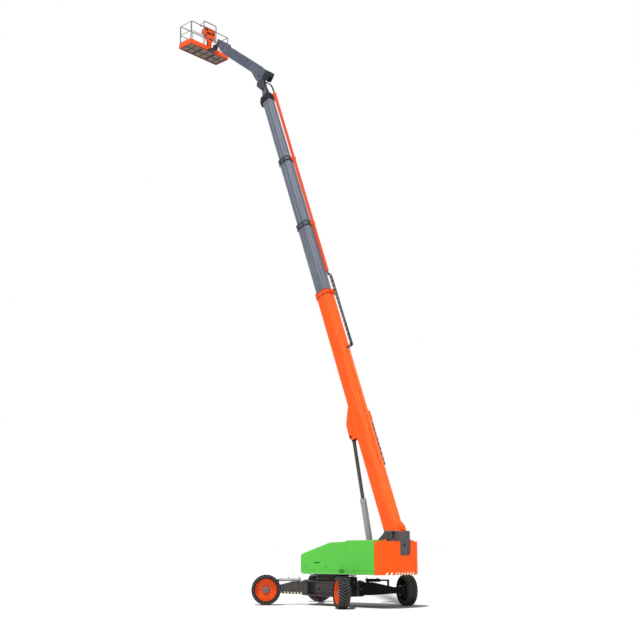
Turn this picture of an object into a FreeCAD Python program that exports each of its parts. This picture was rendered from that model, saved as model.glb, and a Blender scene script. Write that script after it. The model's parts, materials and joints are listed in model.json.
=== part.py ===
"""Telescopic boom lift with extending swing axles, a four-section boom, a jib and a platform.

The frame is +X towards the boom's head, +Y to the machine's left and +Z up, in millimetres. The ground is z = 0 and
the origin is under the middle of the whole machine. Every place is measured from the swing axis, which stands at
(swing_x, swing_y). Each sub-part is drawn in a frame of its own and then placed.
"""

import FreeCAD, Part
import math
import os
import re

import Sketcher

SIZES = {
    # place of the swing axis
    "swing_x": -2697.0,
    "swing_y": -14.1,
    # wheels
    "wheel_diameter": 1155.0,
    "tyre_width": 445.0,
    "rim_diameter": 850.0,
    "rim_width": 350.0,
    "rim_wall": 14.0,
    "hub_radius": 125.0,
    "fit_gap": 0.3,
    # axle arms and king pins
    "root_x": 1150.0,
    "root_y": 300.0,
    "king_x": 2165.0,
    "king_y": 1512.0,
    "king_offset": 280.0,
    "root_radius": 150.0,
    "root_pin_radius": 55.0,
    "king_radius": 88.0,
    "arm_width": 230.0,
    "arm_tip_width": 136.0,
    "arm_tip_bottom": 455.0,
    "arm_tip_top": 700.0,
    "steer_front_left": 45.0,
    "steer_front_right": 33.0,
    "steer_rear_left": -34.0,
    "steer_rear_right": -25.0,
    "yoke_plate": 35.0,
    "yoke_web": 40.0,
    "ram_radius": 62.0,
    "ram_start": 240.0,
    "ram_length": 900.0,
    # chassis
    "box_half_length": 540.0,
    "box_half_width": 400.0,
    "box_bevel": 120.0,
    "spine_half_width": 70.0,
    "chassis_bottom": 330.0,
    "chassis_top": 960.0,
    "cheek_bottom": 400.0,
    "cheek_top": 880.0,
    "cheek_plate": 40.0,
    "lug_half": 25.0,
    "lug_reach": 130.0,
    "lug_height": 640.0,
    "lug_bore": 35.0,
    "ring_diameter": 1240.0,
    # turntable
    "deck_bottom": 1200.0,
    "deck_plate": 120.0,
    "deck_front": 500.0,
    "body_half_width": 1200.0,
    "deck_inset": 30.0,
    "channel_half_width": 412.0,
    "channel_wall": 12.0,
    "channel_top": 2290.0,
    "tail_x": -3645.0,
    "tail_half_width": 650.0,
    "split_x": -3122.0,
    "tail_shoulder_x": -3270.0,
    "notch_floor": 1900.0,
    "body_top": 2410.0,
    "notch_half_width": 322.0,
    "engine_rear": -2950.0,
    "engine_length": 1500.0,
    "engine_height": 800.0,
    # riser
    "riser_rear": -3600.0,
    "riser_half_width": 323.0,
    "riser_plate": 50.0,
    "riser_top": 2800.0,
    "riser_top_front": -2915.0,
    # hoods
    "hood_front": 582.0,
    "hood_front_top": 1925.0,
    "hood_slope_end": -960.0,
    "hood_slope_top": 2380.0,
    "hood_step": -1708.0,
    "hood_wall": 14.0,
    "hood_gap": 6.0,
    "hood_hinge_radius": 14.0,
    "hood_hinge_reach": 18.0,
    "hood_hinge_rise": 60.0,
    "hood_skirt": 12.0,
    "hood_chamfer": 60.0,
    # boom
    "boom_angle": 70.2,
    "pivot_x": -3335.0,
    "pivot_z": 2715.0,
    "pivot_radius": 60.0,
    "boom_drop": 195.0,
    "boom_tail": 198.0,
    "base_length": 10560.0,
    "fly_length": 10000.0,
    "reach_1": 3447.0,
    "reach_2": 3490.0,
    "reach_3": 3657.0,
    "tube_height": 644.0,
    "tube_width": 530.0,
    "tube_fold": 90.0,
    "tube_wall": 10.0,
    "tube_gap": 12.0,
    "collar_length": 200.0,
    "collar_lip": 20.0,
    "collar_rim": 22.0,
    # hose carrier and link chain
    "carrier_length": 9700.0,
    "carrier_y": 110.0,
    "carrier_half": 55.0,
    "carrier_rise": 30.0,
    "carrier_height": 90.0,
    "tray_start": 2600.0,
    "tray_stop": 2810.0,
    "tray_half": 45.0,
    "tray_height": 84.0,
    "chain_half": 38.0,
    "chain_height": 76.0,
    "chain_rise": 330.0,
    "chain_lead": 560.0,
    # lift cylinder
    "lift_foot_x": -2085.0,
    "lift_foot_z": 1450.0,
    "lift_eye_along": 4262.0,
    "lift_eye_drop": 812.0,
    "lift_barrel_radius": 115.0,
    "lift_barrel_length": 2620.0,
    "lift_bore_radius": 100.0,
    "lift_rod_radius": 72.0,
    "lift_rod_start": 2300.0,
    "lift_eye_radius": 95.0,
    "lift_eye_half": 50.0,
    # head of the boom, jib and platform
    "nose_length": 420.0,
    "jib_base_x": 234.0,
    "jib_base_z": 731.0,
    "jib_angle": 38.8,
    "jib_length": 4022.0,
    "jib_under": 45.0,
    "jib_head_rise": 256.0,
    "jib_width": 250.0,
    "jib_depth": 425.0,
    "head_reach": 765.0,
    "turn_reach": 400.0,
    "spindle_radius": 50.0,
    "floor_drop": 119.0,
    "platform_length": 2440.0,
    "platform_depth": 910.0,
    "floor_frame": 100.0,
    "rail_height": 1100.0,
    "hoop_height": 1430.0,
    "rail_radius": 19.0,
    "toe_height": 150.0,
    "toe_plate": 6.0,
    "console_half_width": 360.0,
    "console_height": 1180.0,
    # jib cylinder
    "jib_foot_x": -37.0,
    "jib_foot_drop": 212.0,
    "jib_eye_along": 560.0,
    "jib_eye_drop": 30.0,
    "jib_barrel_radius": 38.0,
    "jib_barrel_length": 386.0,
    "jib_bore_radius": 30.0,
    "jib_rod_radius": 20.0,
    "jib_rod_start": 265.0,
}

DOC = FreeCAD.newDocument("BoomLift")
SHEET = DOC.addObject("Spreadsheet::Sheet", "Sizes")
PIECES = []


def fill_sheet():
    """Write every driving dimension into the sheet, with its name as the alias."""
    for row, (name, size) in enumerate(SIZES.items(), start=1):
        SHEET.set(f"A{row}", name)
        SHEET.set(f"B{row}", str(size))
        SHEET.setAlias(f"B{row}", name)
    DOC.recompute()


def bound(text):
    """Turn a formula in size names into an expression on the sheet."""
    return re.sub(r"[a-z]\w*", lambda m: f"Sizes.{m[0]}" if m[0] in SIZES else m[0], str(text))


def number(text):
    """The present value of a formula."""
    return float(SHEET.evalExpression(bound(text)))


def sign(side, text):
    """A formula taken to the left or front (1) or to the right or rear (-1)."""
    return f"{side} * ({text})"


class Piece:
    """A sub-part drawn as one PartDesign body and then placed about the swing axis."""

    def __init__(self, label):
        self.body = DOC.addObject("PartDesign::Body", label)
        self.body.Label = label
        self.label = label
        self.features = 0
        PIECES.append(self.body)

    def sketch(self, plane, loops, level):
        """A sketch of closed loops on an origin plane, moved along the plane's normal to a level."""
        self.features += 1
        drawn = self.body.newObject("Sketcher::SketchObject", f"{self.label}_sketch_{self.features}")
        support = next(f for f in self.body.Origin.OriginFeatures if f.Role == plane + "_Plane")
        drawn.AttachmentSupport = [(support, "")]
        drawn.MapMode = "FlatFace"
        drawn.setExpression("AttachmentOffset.Base.z", bound(level))
        for loop in loops:
            if isinstance(loop, tuple):
                self.draw_circle(drawn, loop)
            else:
                self.draw_polygon(drawn, loop)
        return drawn

    def draw_circle(self, drawn, circle):
        """A circle given as (across, up, radius)."""
        across, up, radius = circle
        shape = Part.Circle(FreeCAD.Vector(number(across), number(up), 0), FreeCAD.Vector(0, 0, 1), number(radius))
        item = drawn.addGeometry(shape, False)
        fixings = [
            ("DistanceX", (-1, 1, item, 3), across),
            ("DistanceY", (-1, 1, item, 3), up),
            ("Radius", (item,), radius),
        ]
        self.fix(drawn, fixings)

    def draw_polygon(self, drawn, points):
        """A closed polygon given as (across, up) corners."""
        corners = [FreeCAD.Vector(number(across), number(up), 0) for across, up in points]
        count = len(corners)
        sides = [Part.LineSegment(corners[i], corners[(i + 1) % count]) for i in range(count)]
        items = drawn.addGeometry(sides, False)
        for i in range(count):
            drawn.addConstraint(Sketcher.Constraint("Coincident", items[i], 2, items[(i + 1) % count], 1))
        fixings = []
        for item, (across, up) in zip(items, points):
            fixings.append(("DistanceX", (-1, 1, item, 1), across))
            fixings.append(("DistanceY", (-1, 1, item, 1), up))
        self.fix(drawn, fixings)

    def fix(self, drawn, fixings):
        """Add each dimension to the sketch and bind it to the sheet."""
        for kind, items, text in fixings:
            index = drawn.addConstraint(Sketcher.Constraint(kind, *items, number(text)))
            drawn.setExpression(f"Constraints[{index}]", bound(text))

    def pad(self, plane, loops, low, high):
        """Material between two levels along the axis that is square to the plane."""
        start = f"-({high})" if plane == "XZ" else low
        feature = self.body.newObject("PartDesign::Pad", f"{self.label}_pad_{self.features}")
        feature.Profile = self.sketch(plane, loops, start)
        feature.setExpression("Length", bound(f"({high}) - ({low})"))
        self.body.Tip = feature
        return self

    def pocket(self, plane, loops, low, high):
        """A cut between two levels along the axis that is square to the plane."""
        DOC.recompute()
        before = self.body.Shape.Volume
        start = f"-({high})" if plane == "XZ" else low
        feature = self.body.newObject("PartDesign::Pocket", f"{self.label}_pocket_{self.features}")
        feature.Profile = self.sketch(plane, loops, start)
        feature.Reversed = True
        feature.setExpression("Length", bound(f"({high}) - ({low})"))
        self.body.Tip = feature
        DOC.recompute()
        if self.body.Shape.Volume >= before:
            raise RuntimeError(f"{feature.Name} cuts nothing")
        return self

    def turn(self, plane, loops, axis):
        """Material swept once round the sketch's own axis, H_Axis or V_Axis."""
        drawn = self.sketch(plane, loops, "0")
        feature = self.body.newObject("PartDesign::Revolution", f"{self.label}_turn_{self.features}")
        feature.Profile = drawn
        feature.ReferenceAxis = (drawn, [axis])
        feature.Angle = 360
        self.body.Tip = feature
        return self

    def place(self, x, y, z, axis=(0, 0, 1), angle="0"):
        """Stand the piece at a place measured from the swing axis, turned about an axis."""
        self.body.Placement = FreeCAD.Placement(
            FreeCAD.Vector(0, 0, 0), FreeCAD.Rotation(FreeCAD.Vector(*axis), number(angle))
        )
        self.body.setExpression("Placement.Base.x", bound(f"swing_x + ({x})"))
        self.body.setExpression("Placement.Base.y", bound(f"swing_y + ({y})"))
        self.body.setExpression("Placement.Base.z", bound(z))
        self.body.setExpression("Placement.Rotation.Angle", bound(f"({angle}) * 1 deg"))
        return self


def rectangle(left, right, low, high):
    """Corners of an upright rectangle."""
    return [(left, low), (right, low), (right, high), (left, high)]


# ---------------------------------------------------------------- chassis

CORNERS = {
    "front_left": (1, 1),
    "front_right": (1, -1),
    "rear_left": (-1, 1),
    "rear_right": (-1, -1),
}


def make_chassis():
    """The centre box, the cheek plates and pins of the arm roots, the tie-down lugs and the fixed half of the ring."""
    frame = Piece("chassis_frame")
    box = [
        ("-box_half_length", "chassis_bottom + box_bevel"),
        ("-box_half_length + box_bevel", "chassis_bottom"),
        ("box_half_length - box_bevel", "chassis_bottom"),
        ("box_half_length", "chassis_bottom + box_bevel"),
        ("box_half_length", "chassis_top"),
        ("-box_half_length", "chassis_top"),
    ]
    frame.pad("XZ", [box], "-box_half_width", "box_half_width")
    cheek = [
        ("-root_x - 60", "-root_y - 160"),
        ("-root_x + 200", "-root_y - 160"),
        ("-box_half_length", "-560"),
        ("box_half_length", "-560"),
        ("root_x - 200", "-root_y - 160"),
        ("root_x + 60", "-root_y - 160"),
        ("root_x + 160", "-root_y - 60"),
        ("root_x + 160", "root_y + 60"),
        ("root_x + 60", "root_y + 160"),
        ("root_x - 200", "root_y + 160"),
        ("box_half_length", "560"),
        ("-box_half_length", "560"),
        ("-root_x + 200", "root_y + 160"),
        ("-root_x - 60", "root_y + 160"),
        ("-root_x - 160", "root_y + 60"),
        ("-root_x - 160", "-root_y - 60"),
    ]
    frame.pad("XY", [cheek], "cheek_bottom - cheek_plate", "cheek_bottom")
    frame.pad("XY", [cheek], "cheek_top", "cheek_top + cheek_plate")
    for front in (1, -1):
        left, right = sorted((f"{front} * (box_half_length - 1)", f"{front} * (root_x + 158)"), key=number)
        spine = rectangle(left, right, "-spine_half_width", "spine_half_width")
        frame.pad("XY", [spine], "cheek_bottom - 1", "cheek_top + 1")
        lug = [
            (f"{front} * (root_x + 100)", "-spine_half_width - 35"),
            (f"{front} * (root_x + 160 + lug_reach)", "-spine_half_width"),
            (f"{front} * (root_x + 160 + lug_reach)", "spine_half_width"),
            (f"{front} * (root_x + 100)", "spine_half_width + 35"),
        ]
        hole = (f"{front} * (root_x + 90 + lug_reach)", "0", "lug_bore")
        frame.pad("XY", [lug, hole], "lug_height - lug_half", "lug_height + lug_half")
    for front, left in CORNERS.values():
        pin = (sign(front, "root_x"), sign(left, "root_y"), "root_pin_radius")
        frame.pad("XY", [pin], "cheek_bottom - cheek_plate - 15", "cheek_top + cheek_plate + 15")
    frame.pad("XY", [("0", "0", "ring_diameter / 2")], "chassis_top - 1", "deck_bottom - fit_gap")
    frame.place("0", "0", "0")


def make_corner(name):
    """One axle arm with its steering ram, its king-pin knuckle, and the wheel's rim and tyre."""
    front, left = CORNERS[name]
    steer = f"steer_{name}"
    arm_length = "hypot(king_x - root_x; king_y - root_y)"
    arm_angle = f"atan2({left} * (king_y - root_y); {front} * (king_x - root_x)) / 1 deg"
    heading = steer if left > 0 else f"{steer} + 180"

    arm = Piece(f"axle_arm_{name}")
    low = "cheek_bottom + fit_gap"
    high = "cheek_top - fit_gap"
    side = [
        ("0", low),
        ("420", low),
        (f"{arm_length} - 260", "arm_tip_bottom"),
        (arm_length, "arm_tip_bottom"),
        (arm_length, "arm_tip_top"),
        (f"{arm_length} - 260", "arm_tip_top"),
        ("520", high),
        ("0", high),
    ]
    arm.pad("XZ", [side], "-arm_width / 2", "arm_width / 2")
    for edge in (1, -1):
        slope = [
            (f"{arm_length} - 900", sign(edge, "arm_width / 2 + 1")),
            (f"{arm_length} - 620", sign(edge, "arm_tip_width / 2")),
            (f"{arm_length} + 1", sign(edge, "arm_tip_width / 2")),
            (f"{arm_length} + 1", sign(edge, "arm_width / 2 + 1")),
        ]
        arm.pocket("XY", [slope], "cheek_bottom - 10", "cheek_top + 10")
    arm.pad("XY", [("0", "0", "root_radius")], low, high)
    arm.pad("XY", [(arm_length, "0", "king_radius")], "arm_tip_bottom", "arm_tip_top")
    arm.pocket("XY", [("0", "0", "root_pin_radius + fit_gap")], "cheek_bottom - 10", "cheek_top + 10")
    ram_level = f"{high} + ram_radius + 12"
    arm.pad("YZ", [("0", ram_level, "ram_radius")], "ram_start", "ram_start + ram_length * 0.6")
    arm.pad("YZ", [("0", ram_level, "ram_radius * 0.55")], "ram_start + ram_length * 0.5", "ram_start + ram_length")
    lug = rectangle("ram_start + 30", "ram_start + 110", f"{high} - 5", ram_level)
    arm.pad("XZ", [lug], "-ram_radius", "ram_radius")
    end_lug = rectangle("ram_start + ram_length - 70", "ram_start + ram_length", "arm_tip_top + 10", ram_level)
    arm.pad("XZ", [end_lug], "-ram_radius * 0.7", "ram_radius * 0.7")
    arm.place(sign(front, "root_x"), sign(left, "root_y"), "0", angle=arm_angle)

    knuckle = Piece(f"knuckle_{name}")
    plate = [
        ("-king_radius - 8", "-40"),
        ("-50", "-king_radius - 8"),
        ("50", "-king_radius - 8"),
        ("king_radius + 8", "-40"),
        ("king_radius + 8", "king_radius + 22 + yoke_web"),
        ("-king_radius - 8", "king_radius + 22 + yoke_web"),
    ]
    below = ("arm_tip_bottom - fit_gap - yoke_plate", "arm_tip_bottom - fit_gap")
    above = ("arm_tip_top + fit_gap", "arm_tip_top + fit_gap + yoke_plate")
    knuckle.pad("XY", [plate], *below)
    knuckle.pad("XY", [plate], *above)
    web = rectangle("-king_radius - 8", "king_radius + 8", below[0], above[1])
    knuckle.pad("XZ", [web], "king_radius + 22", "king_radius + 22 + yoke_web")
    spindle = ("0", "wheel_diameter / 2", "hub_radius - 10")
    knuckle.pad("XZ", [spindle], "king_radius + 22 + yoke_web - 5", "king_offset - 40 - fit_gap")
    knuckle.place(sign(front, "king_x"), sign(left, "king_y"), "0", angle=heading)

    wheel_x = f"{front} * king_x - {left} * king_offset * sin({steer})"
    wheel_y = f"{left} * (king_y + king_offset * cos({steer}))"
    make_wheel(name, wheel_x, wheel_y, heading)


def make_wheel(name, wheel_x, wheel_y, heading):
    """The dished rim and the tyre, turned about the axle, whose outer end is the local +Y."""
    rim = Piece(f"rim_{name}")
    rim_outline = [
        ("0", "-40"),
        ("hub_radius", "-40"),
        ("hub_radius + 60", "-20"),
        ("rim_diameter / 2 - rim_wall - 10", "10"),
        ("rim_diameter / 2 - rim_wall", "-rim_width / 2 + 20"),
        ("rim_diameter / 2 - rim_wall + 8", "-rim_width / 2"),
        ("rim_diameter / 2", "-rim_width / 2"),
        ("rim_diameter / 2", "rim_width / 2"),
        ("rim_diameter / 2 - rim_wall", "rim_width / 2"),
        ("rim_diameter / 2 - rim_wall - 14", "40"),
        ("hub_radius + 50", "10"),
        ("hub_radius", "70"),
        ("hub_radius - 30", "110"),
        ("0", "110"),
    ]
    rim.turn("XY", [rim_outline], "V_Axis")
    rim.place(wheel_x, wheel_y, "wheel_diameter / 2", angle=heading)
    tyre = Piece(f"tyre_{name}")
    tyre_outline = [
        ("rim_diameter / 2 + fit_gap", "-rim_width / 2"),
        ("rim_diameter / 2 + 25", "-rim_width / 2 - 20"),
        ("rim_diameter / 2 + 50", "-tyre_width / 2"),
        ("wheel_diameter / 2 - 60", "-tyre_width / 2 + 8"),
        ("wheel_diameter / 2 - 10", "-tyre_width / 2 + 45"),
        ("wheel_diameter / 2", "-tyre_width / 4"),
        ("wheel_diameter / 2", "tyre_width / 4"),
        ("wheel_diameter / 2 - 10", "tyre_width / 2 - 45"),
        ("wheel_diameter / 2 - 60", "tyre_width / 2 - 8"),
        ("rim_diameter / 2 + 50", "tyre_width / 2"),
        ("rim_diameter / 2 + 25", "rim_width / 2 + 20"),
        ("rim_diameter / 2 + fit_gap", "rim_width / 2"),
    ]
    tyre.turn("XY", [tyre_outline], "V_Axis")
    tyre.place(wheel_x, wheel_y, "wheel_diameter / 2", angle=heading)


# ---------------------------------------------------------------- turntable

DECK_TOP = "deck_bottom + deck_plate"
DECK_SIDE = "body_half_width - deck_inset"
DECK_REAR = "split_x + hood_gap + hood_wall + 8"
HINGE_Y = "channel_half_width + hood_hinge_reach"
HINGE_Z = "channel_top + hood_hinge_rise"


def make_turntable():
    """The deck over the slew ring, the walls of the boom's channel and the lift cylinder's foot."""
    frame = Piece("turntable_frame")
    deck = [
        ("deck_front", f"-({DECK_SIDE})"),
        ("deck_front", DECK_SIDE),
        (DECK_REAR, DECK_SIDE),
        (DECK_REAR, "riser_half_width + 8"),
        ("riser_rear", "riser_half_width + 8"),
        ("riser_rear", "-riser_half_width - 8"),
        (DECK_REAR, "-riser_half_width - 8"),
        (DECK_REAR, f"-({DECK_SIDE})"),
    ]
    frame.pad("XY", [deck], "deck_bottom", DECK_TOP)
    for side in (1, -1):
        tray = rectangle("split_x + 100", "deck_front - 100", sign(side, "420"), sign(side, f"{DECK_SIDE} - 50"))
        frame.pocket("XY", [tray], "deck_bottom - 1", f"{DECK_TOP} - 20")
    wall = [
        ("split_x + 400", DECK_TOP),
        ("deck_front", DECK_TOP),
        ("deck_front", "hood_front_top - 120"),
        ("hood_slope_end", "channel_top"),
        ("split_x + 400", "channel_top"),
    ]
    frame.pad("XZ", [wall], "channel_half_width - channel_wall", "channel_half_width")
    frame.pad("XZ", [wall], "-channel_half_width", "-channel_half_width + channel_wall")
    foot = [
        ("lift_foot_x - 260", DECK_TOP),
        ("lift_foot_x + 260", DECK_TOP),
        ("lift_foot_x + 80", "lift_foot_z + 90"),
        ("lift_foot_x - 80", "lift_foot_z + 90"),
    ]
    for side in (1, -1):
        near, far = sorted((side * 130, side * 175))
        frame.pad("XZ", [foot], str(near), str(far))
        hinge = (sign(side, HINGE_Y), HINGE_Z, "hood_hinge_radius")
        lug = [
            (sign(side, "channel_half_width - channel_wall"), "channel_top - 14"),
            (sign(side, f"{HINGE_Y} + hood_hinge_radius"), "channel_top - 14"),
            (sign(side, f"{HINGE_Y} + hood_hinge_radius"), HINGE_Z),
            (sign(side, f"{HINGE_Y} - hood_hinge_radius"), HINGE_Z),
            (sign(side, "channel_half_width - channel_wall"), "channel_top + hood_hinge_rise / 2"),
        ]
        for start in ("split_x + 500", "hood_slope_end - 200"):
            frame.pad("YZ", [lug], start, f"{start} + 30")
            frame.pad("YZ", [hinge], start, f"{start} + 110")
    frame.pad("XZ", [("lift_foot_x", "lift_foot_z", "50")], "-190", "190")
    frame.place("0", "0", "0")

    engine = Piece("engine")
    block = [
        ("engine_rear", "-body_half_width + hood_wall + 130"),
        ("engine_rear + engine_length", "-body_half_width + hood_wall + 130"),
        ("engine_rear + engine_length", "-channel_half_width - 90"),
        ("engine_rear", "-channel_half_width - 90"),
    ]
    engine.pad("XY", [block], DECK_TOP, f"{DECK_TOP} + engine_height")
    engine.place("0", "0", "0")


def make_riser():
    """The two side plates that hold the boom's pivot, closed at the rear."""
    riser = Piece("riser")
    side = [
        ("riser_rear", DECK_TOP),
        ("riser_top_front + 900", DECK_TOP),
        ("riser_top_front + 400", "body_top"),
        ("riser_top_front + 90", "riser_top - 120"),
        ("riser_top_front", "riser_top"),
        ("riser_rear + 30", "riser_top"),
        ("riser_rear", "riser_top - 30"),
    ]
    pin_hole = ("pivot_x", "pivot_z", "pivot_radius + fit_gap")
    riser.pad("XZ", [side, pin_hole], "riser_half_width - riser_plate", "riser_half_width")
    riser.pad("XZ", [side, pin_hole], "-riser_half_width", "-riser_half_width + riser_plate")
    back = rectangle("riser_rear", "riser_rear + 25", DECK_TOP, "riser_top - 30")
    riser.pad("XZ", [back], "-riser_half_width", "riser_half_width")
    foot = rectangle("riser_rear", "riser_top_front + 300", DECK_TOP, f"{DECK_TOP} + 30")
    riser.pad("XZ", [foot], "-riser_half_width", "riser_half_width")
    riser.place("0", "0", "0")


def make_counterweight():
    """The cast tail, bevelled in plan, with a slot for the riser and a notch in its rear wall."""
    weight = Piece("counterweight")
    plan = [
        ("split_x", "-body_half_width"),
        ("split_x", "body_half_width"),
        ("tail_shoulder_x", "body_half_width"),
        ("tail_x", "tail_half_width"),
        ("tail_x", "-tail_half_width"),
        ("tail_shoulder_x", "-body_half_width"),
    ]
    weight.pad("XY", [plan], "deck_bottom", "body_top")
    slot = rectangle("riser_rear - fit_gap", "split_x + 1", "-riser_half_width - 10", "riser_half_width + 10")
    weight.pocket("XY", [slot], "deck_bottom - 1", "body_top + 1")
    notch = [
        ("-notch_half_width", "body_top + 1"),
        ("-notch_half_width", "notch_floor + 200"),
        ("-notch_half_width + 70", "notch_floor"),
        ("notch_half_width - 25", "notch_floor"),
        ("notch_half_width", "notch_floor + 25"),
        ("notch_half_width", "body_top + 1"),
    ]
    weight.pocket("YZ", [notch], "tail_x - 1", "riser_rear + 1")
    weight.place("0", "0", "0")


def make_hood(name, side):
    """A hollow cover over one side of the deck, which lifts about a rod along the channel's top edge."""
    hood = Piece(name)

    def outline(inset):
        """The hood's side view, drawn inside its skin by an inset."""
        low = f"deck_bottom + hood_skirt - {2 * (inset != '0')}"
        return [
            (f"split_x + hood_gap + {inset}", low),
            (f"hood_front - hood_chamfer - {inset}", low),
            (f"hood_front - {inset}", f"{low} + hood_chamfer"),
            (f"hood_front - {inset}", f"hood_front_top - {inset} / 2"),
            (f"hood_front - 170 - {inset} / 2", f"hood_front_top + 65 - {inset}"),
            (f"hood_slope_end - {inset} / 4", f"hood_slope_top - {inset}"),
            (f"hood_step - {inset} / 4", f"body_top - 8 - {inset}"),
            (f"hood_step - 75 - {inset} / 4", f"body_top + 40 - {inset}"),
            (f"split_x + hood_gap + {inset}", f"body_top + 50 - {inset}"),
        ]

    near = "channel_half_width + 8"
    bounds = (near, "body_half_width") if side > 0 else ("-body_half_width", f"-({near})")
    hollow = (near, "body_half_width - hood_wall") if side > 0 else ("-body_half_width + hood_wall", f"-({near})")
    hood.pad("XZ", [outline("0")], *bounds)
    hood.pocket("XZ", [outline("hood_wall")], hollow[0], hollow[1])
    eye = (sign(side, HINGE_Y), HINGE_Z, "hood_hinge_radius + 12")
    bore = (sign(side, HINGE_Y), HINGE_Z, "hood_hinge_radius + fit_gap")
    for start, top in (("split_x + 540", "body_top + 47"), ("hood_slope_end - 160", "hood_slope_top")):
        strap = rectangle(
            sign(side, f"{HINGE_Y} - 10"), sign(side, f"{HINGE_Y} + 10"),
            f"{HINGE_Z} + hood_hinge_radius + 2", f"{top} - hood_wall / 2"
        )
        hood.pad("YZ", [strap], start, f"{start} + 60")
        hood.pad("YZ", [eye], start, f"{start} + 60")
        hood.pocket("YZ", [bore], f"{start} - 1", f"{start} + 61")
    hood.place("0", "0", "0")


# ---------------------------------------------------------------- boom


def boom_section(level, grow="0"):
    """The eight-sided outline of a boom tube: level 0 is the base section, 3 the innermost."""
    shrink = f"{level} * 2 * (tube_wall + tube_gap)"
    half_width = f"((tube_width - {shrink}) / 2 + {grow})"
    half_height = f"((tube_height - {shrink}) / 2 + {grow})"
    fold = "tube_fold"
    middle = "-boom_drop"
    return [
        (f"-{half_width}", f"{middle} - {half_height} + {fold}"),
        (f"-{half_width} + {fold}", f"{middle} - {half_height}"),
        (f"{half_width} - {fold}", f"{middle} - {half_height}"),
        (half_width, f"{middle} - {half_height} + {fold}"),
        (half_width, f"{middle} + {half_height} - {fold}"),
        (f"{half_width} - {fold}", f"{middle} + {half_height}"),
        (f"-{half_width} + {fold}", f"{middle} + {half_height}"),
        (f"-{half_width}", f"{middle} + {half_height} - {fold}"),
    ]


def on_boom(along, above):
    """The place, from the swing axis, of a point given along and above the boom's pivot line."""
    x = f"pivot_x + ({along}) * cos(boom_angle) - ({above}) * sin(boom_angle)"
    z = f"pivot_z + ({along}) * sin(boom_angle) + ({above}) * cos(boom_angle)"
    return x, z


def place_on_boom(piece):
    """Stand a piece drawn in the boom's frame at the pivot, raised to the boom's angle."""
    piece.place("pivot_x", "0", "pivot_z", axis=(0, -1, 0), angle="boom_angle")


def make_boom_base():
    """The base section with its pivot pin, the collar at its tip and the lift cylinder's bracket."""
    base = Piece("boom_base_tube")
    base.pad("YZ", [boom_section(0), boom_section(0, "-tube_wall")], "-boom_tail", "base_length")
    for side in (1, -1):
        near, far = ("tube_width / 2 - tube_wall", "riser_half_width - riser_plate - fit_gap")
        low, high = (near, far) if side > 0 else (f"-({far})", f"-({near})")
        base.pad("XZ", [("0", "0", "pivot_radius + 55")], low, high)
        near, far = ("tube_width / 2 - tube_wall", "riser_half_width + 14")
        low, high = (near, far) if side > 0 else (f"-({far})", f"-({near})")
        base.pad("XZ", [("0", "0", "pivot_radius")], low, high)
    place_on_boom(base)

    collar = Piece("boom_base_collar")
    collar.pad("YZ", [boom_section(0, "collar_rim"), boom_section(0)], "base_length - collar_length", "base_length")
    collar.pad(
        "YZ", [boom_section(0, "collar_rim"), boom_section(1, "fit_gap")], "base_length", "base_length + collar_lip"
    )
    place_on_boom(collar)

    bracket = Piece("lift_bracket")
    belly = "-boom_drop - tube_height / 2"
    plate = [
        ("lift_eye_along - 150", belly),
        ("lift_eye_along - 130", "-lift_eye_drop - 30"),
        ("lift_eye_along - 60", "-lift_eye_drop - 90"),
        ("lift_eye_along + 60", "-lift_eye_drop - 100"),
        ("lift_eye_along + 560", "-lift_eye_drop - 70"),
        ("lift_eye_along + 720", "-lift_eye_drop + 10"),
        ("lift_eye_along + 1260", belly),
    ]
    for side in (1, -1):
        low, high = sorted((side * 110, side * 145))
        bracket.pad("XZ", [plate], str(low), str(high))
        low, high = sorted((side * 110, side * 175))
        bracket.pad("XZ", [("lift_eye_along", "-lift_eye_drop", "62")], str(low), str(high))
    place_on_boom(bracket)


def fly_tip(level):
    """How far a fly section's tip lies along the boom."""
    return " + ".join(["base_length"] + [f"reach_{n}" for n in range(1, level + 1)])


def make_fly(level):
    """A fly section with its rear wear pads and, at its tip, the collar that guides the next one."""
    tip = fly_tip(level)
    tail = f"{tip} - fly_length"
    fly = Piece(f"fly_{level}_tube")
    fly.pad("YZ", [boom_section(level), boom_section(level, "-tube_wall")], tail, tip)
    pads = [boom_section(level, "tube_gap - fit_gap"), boom_section(level, "-1")]
    fly.pad("YZ", [pads[0], pads[1]], tail, f"{tail} + 180")
    if level < 3:
        fly.pad(
            "YZ", [boom_section(level, "collar_rim"), boom_section(level, "-1")], f"{tip} - collar_length", tip
        )
        fly.pad(
            "YZ", [boom_section(level, "collar_rim"), boom_section(level + 1, "fit_gap")], tip, f"{tip} + collar_lip"
        )
    else:
        fly.pad("YZ", [boom_section(level, "collar_rim"), boom_section(level, "-1")], f"{tip} - 160", tip)
        fly.pad("YZ", [boom_section(level)], f"{tip} - 12", f"{tip} + 12")
        for side in (1, -1):
            low, high = sorted((side * 96, side * 126))
            cheek = [
                (f"{tip} + 12", "-boom_drop - 170"),
                (f"{tip} + nose_length - 40", "-boom_drop - 90"),
                (f"{tip} + nose_length + 80", "-boom_drop - 40"),
                (f"{tip} + nose_length + 80", "-boom_drop + 60"),
                (f"{tip} + nose_length - 40", "-boom_drop + 100"),
                (f"{tip} + 12", "-boom_drop + 170"),
            ]
            fly.pad("XZ", [cheek], str(low), str(high))
        fly.pad("XZ", [(f"{tip} + nose_length", "-boom_drop", "40")], "-140", "140")
    place_on_boom(fly)


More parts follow.
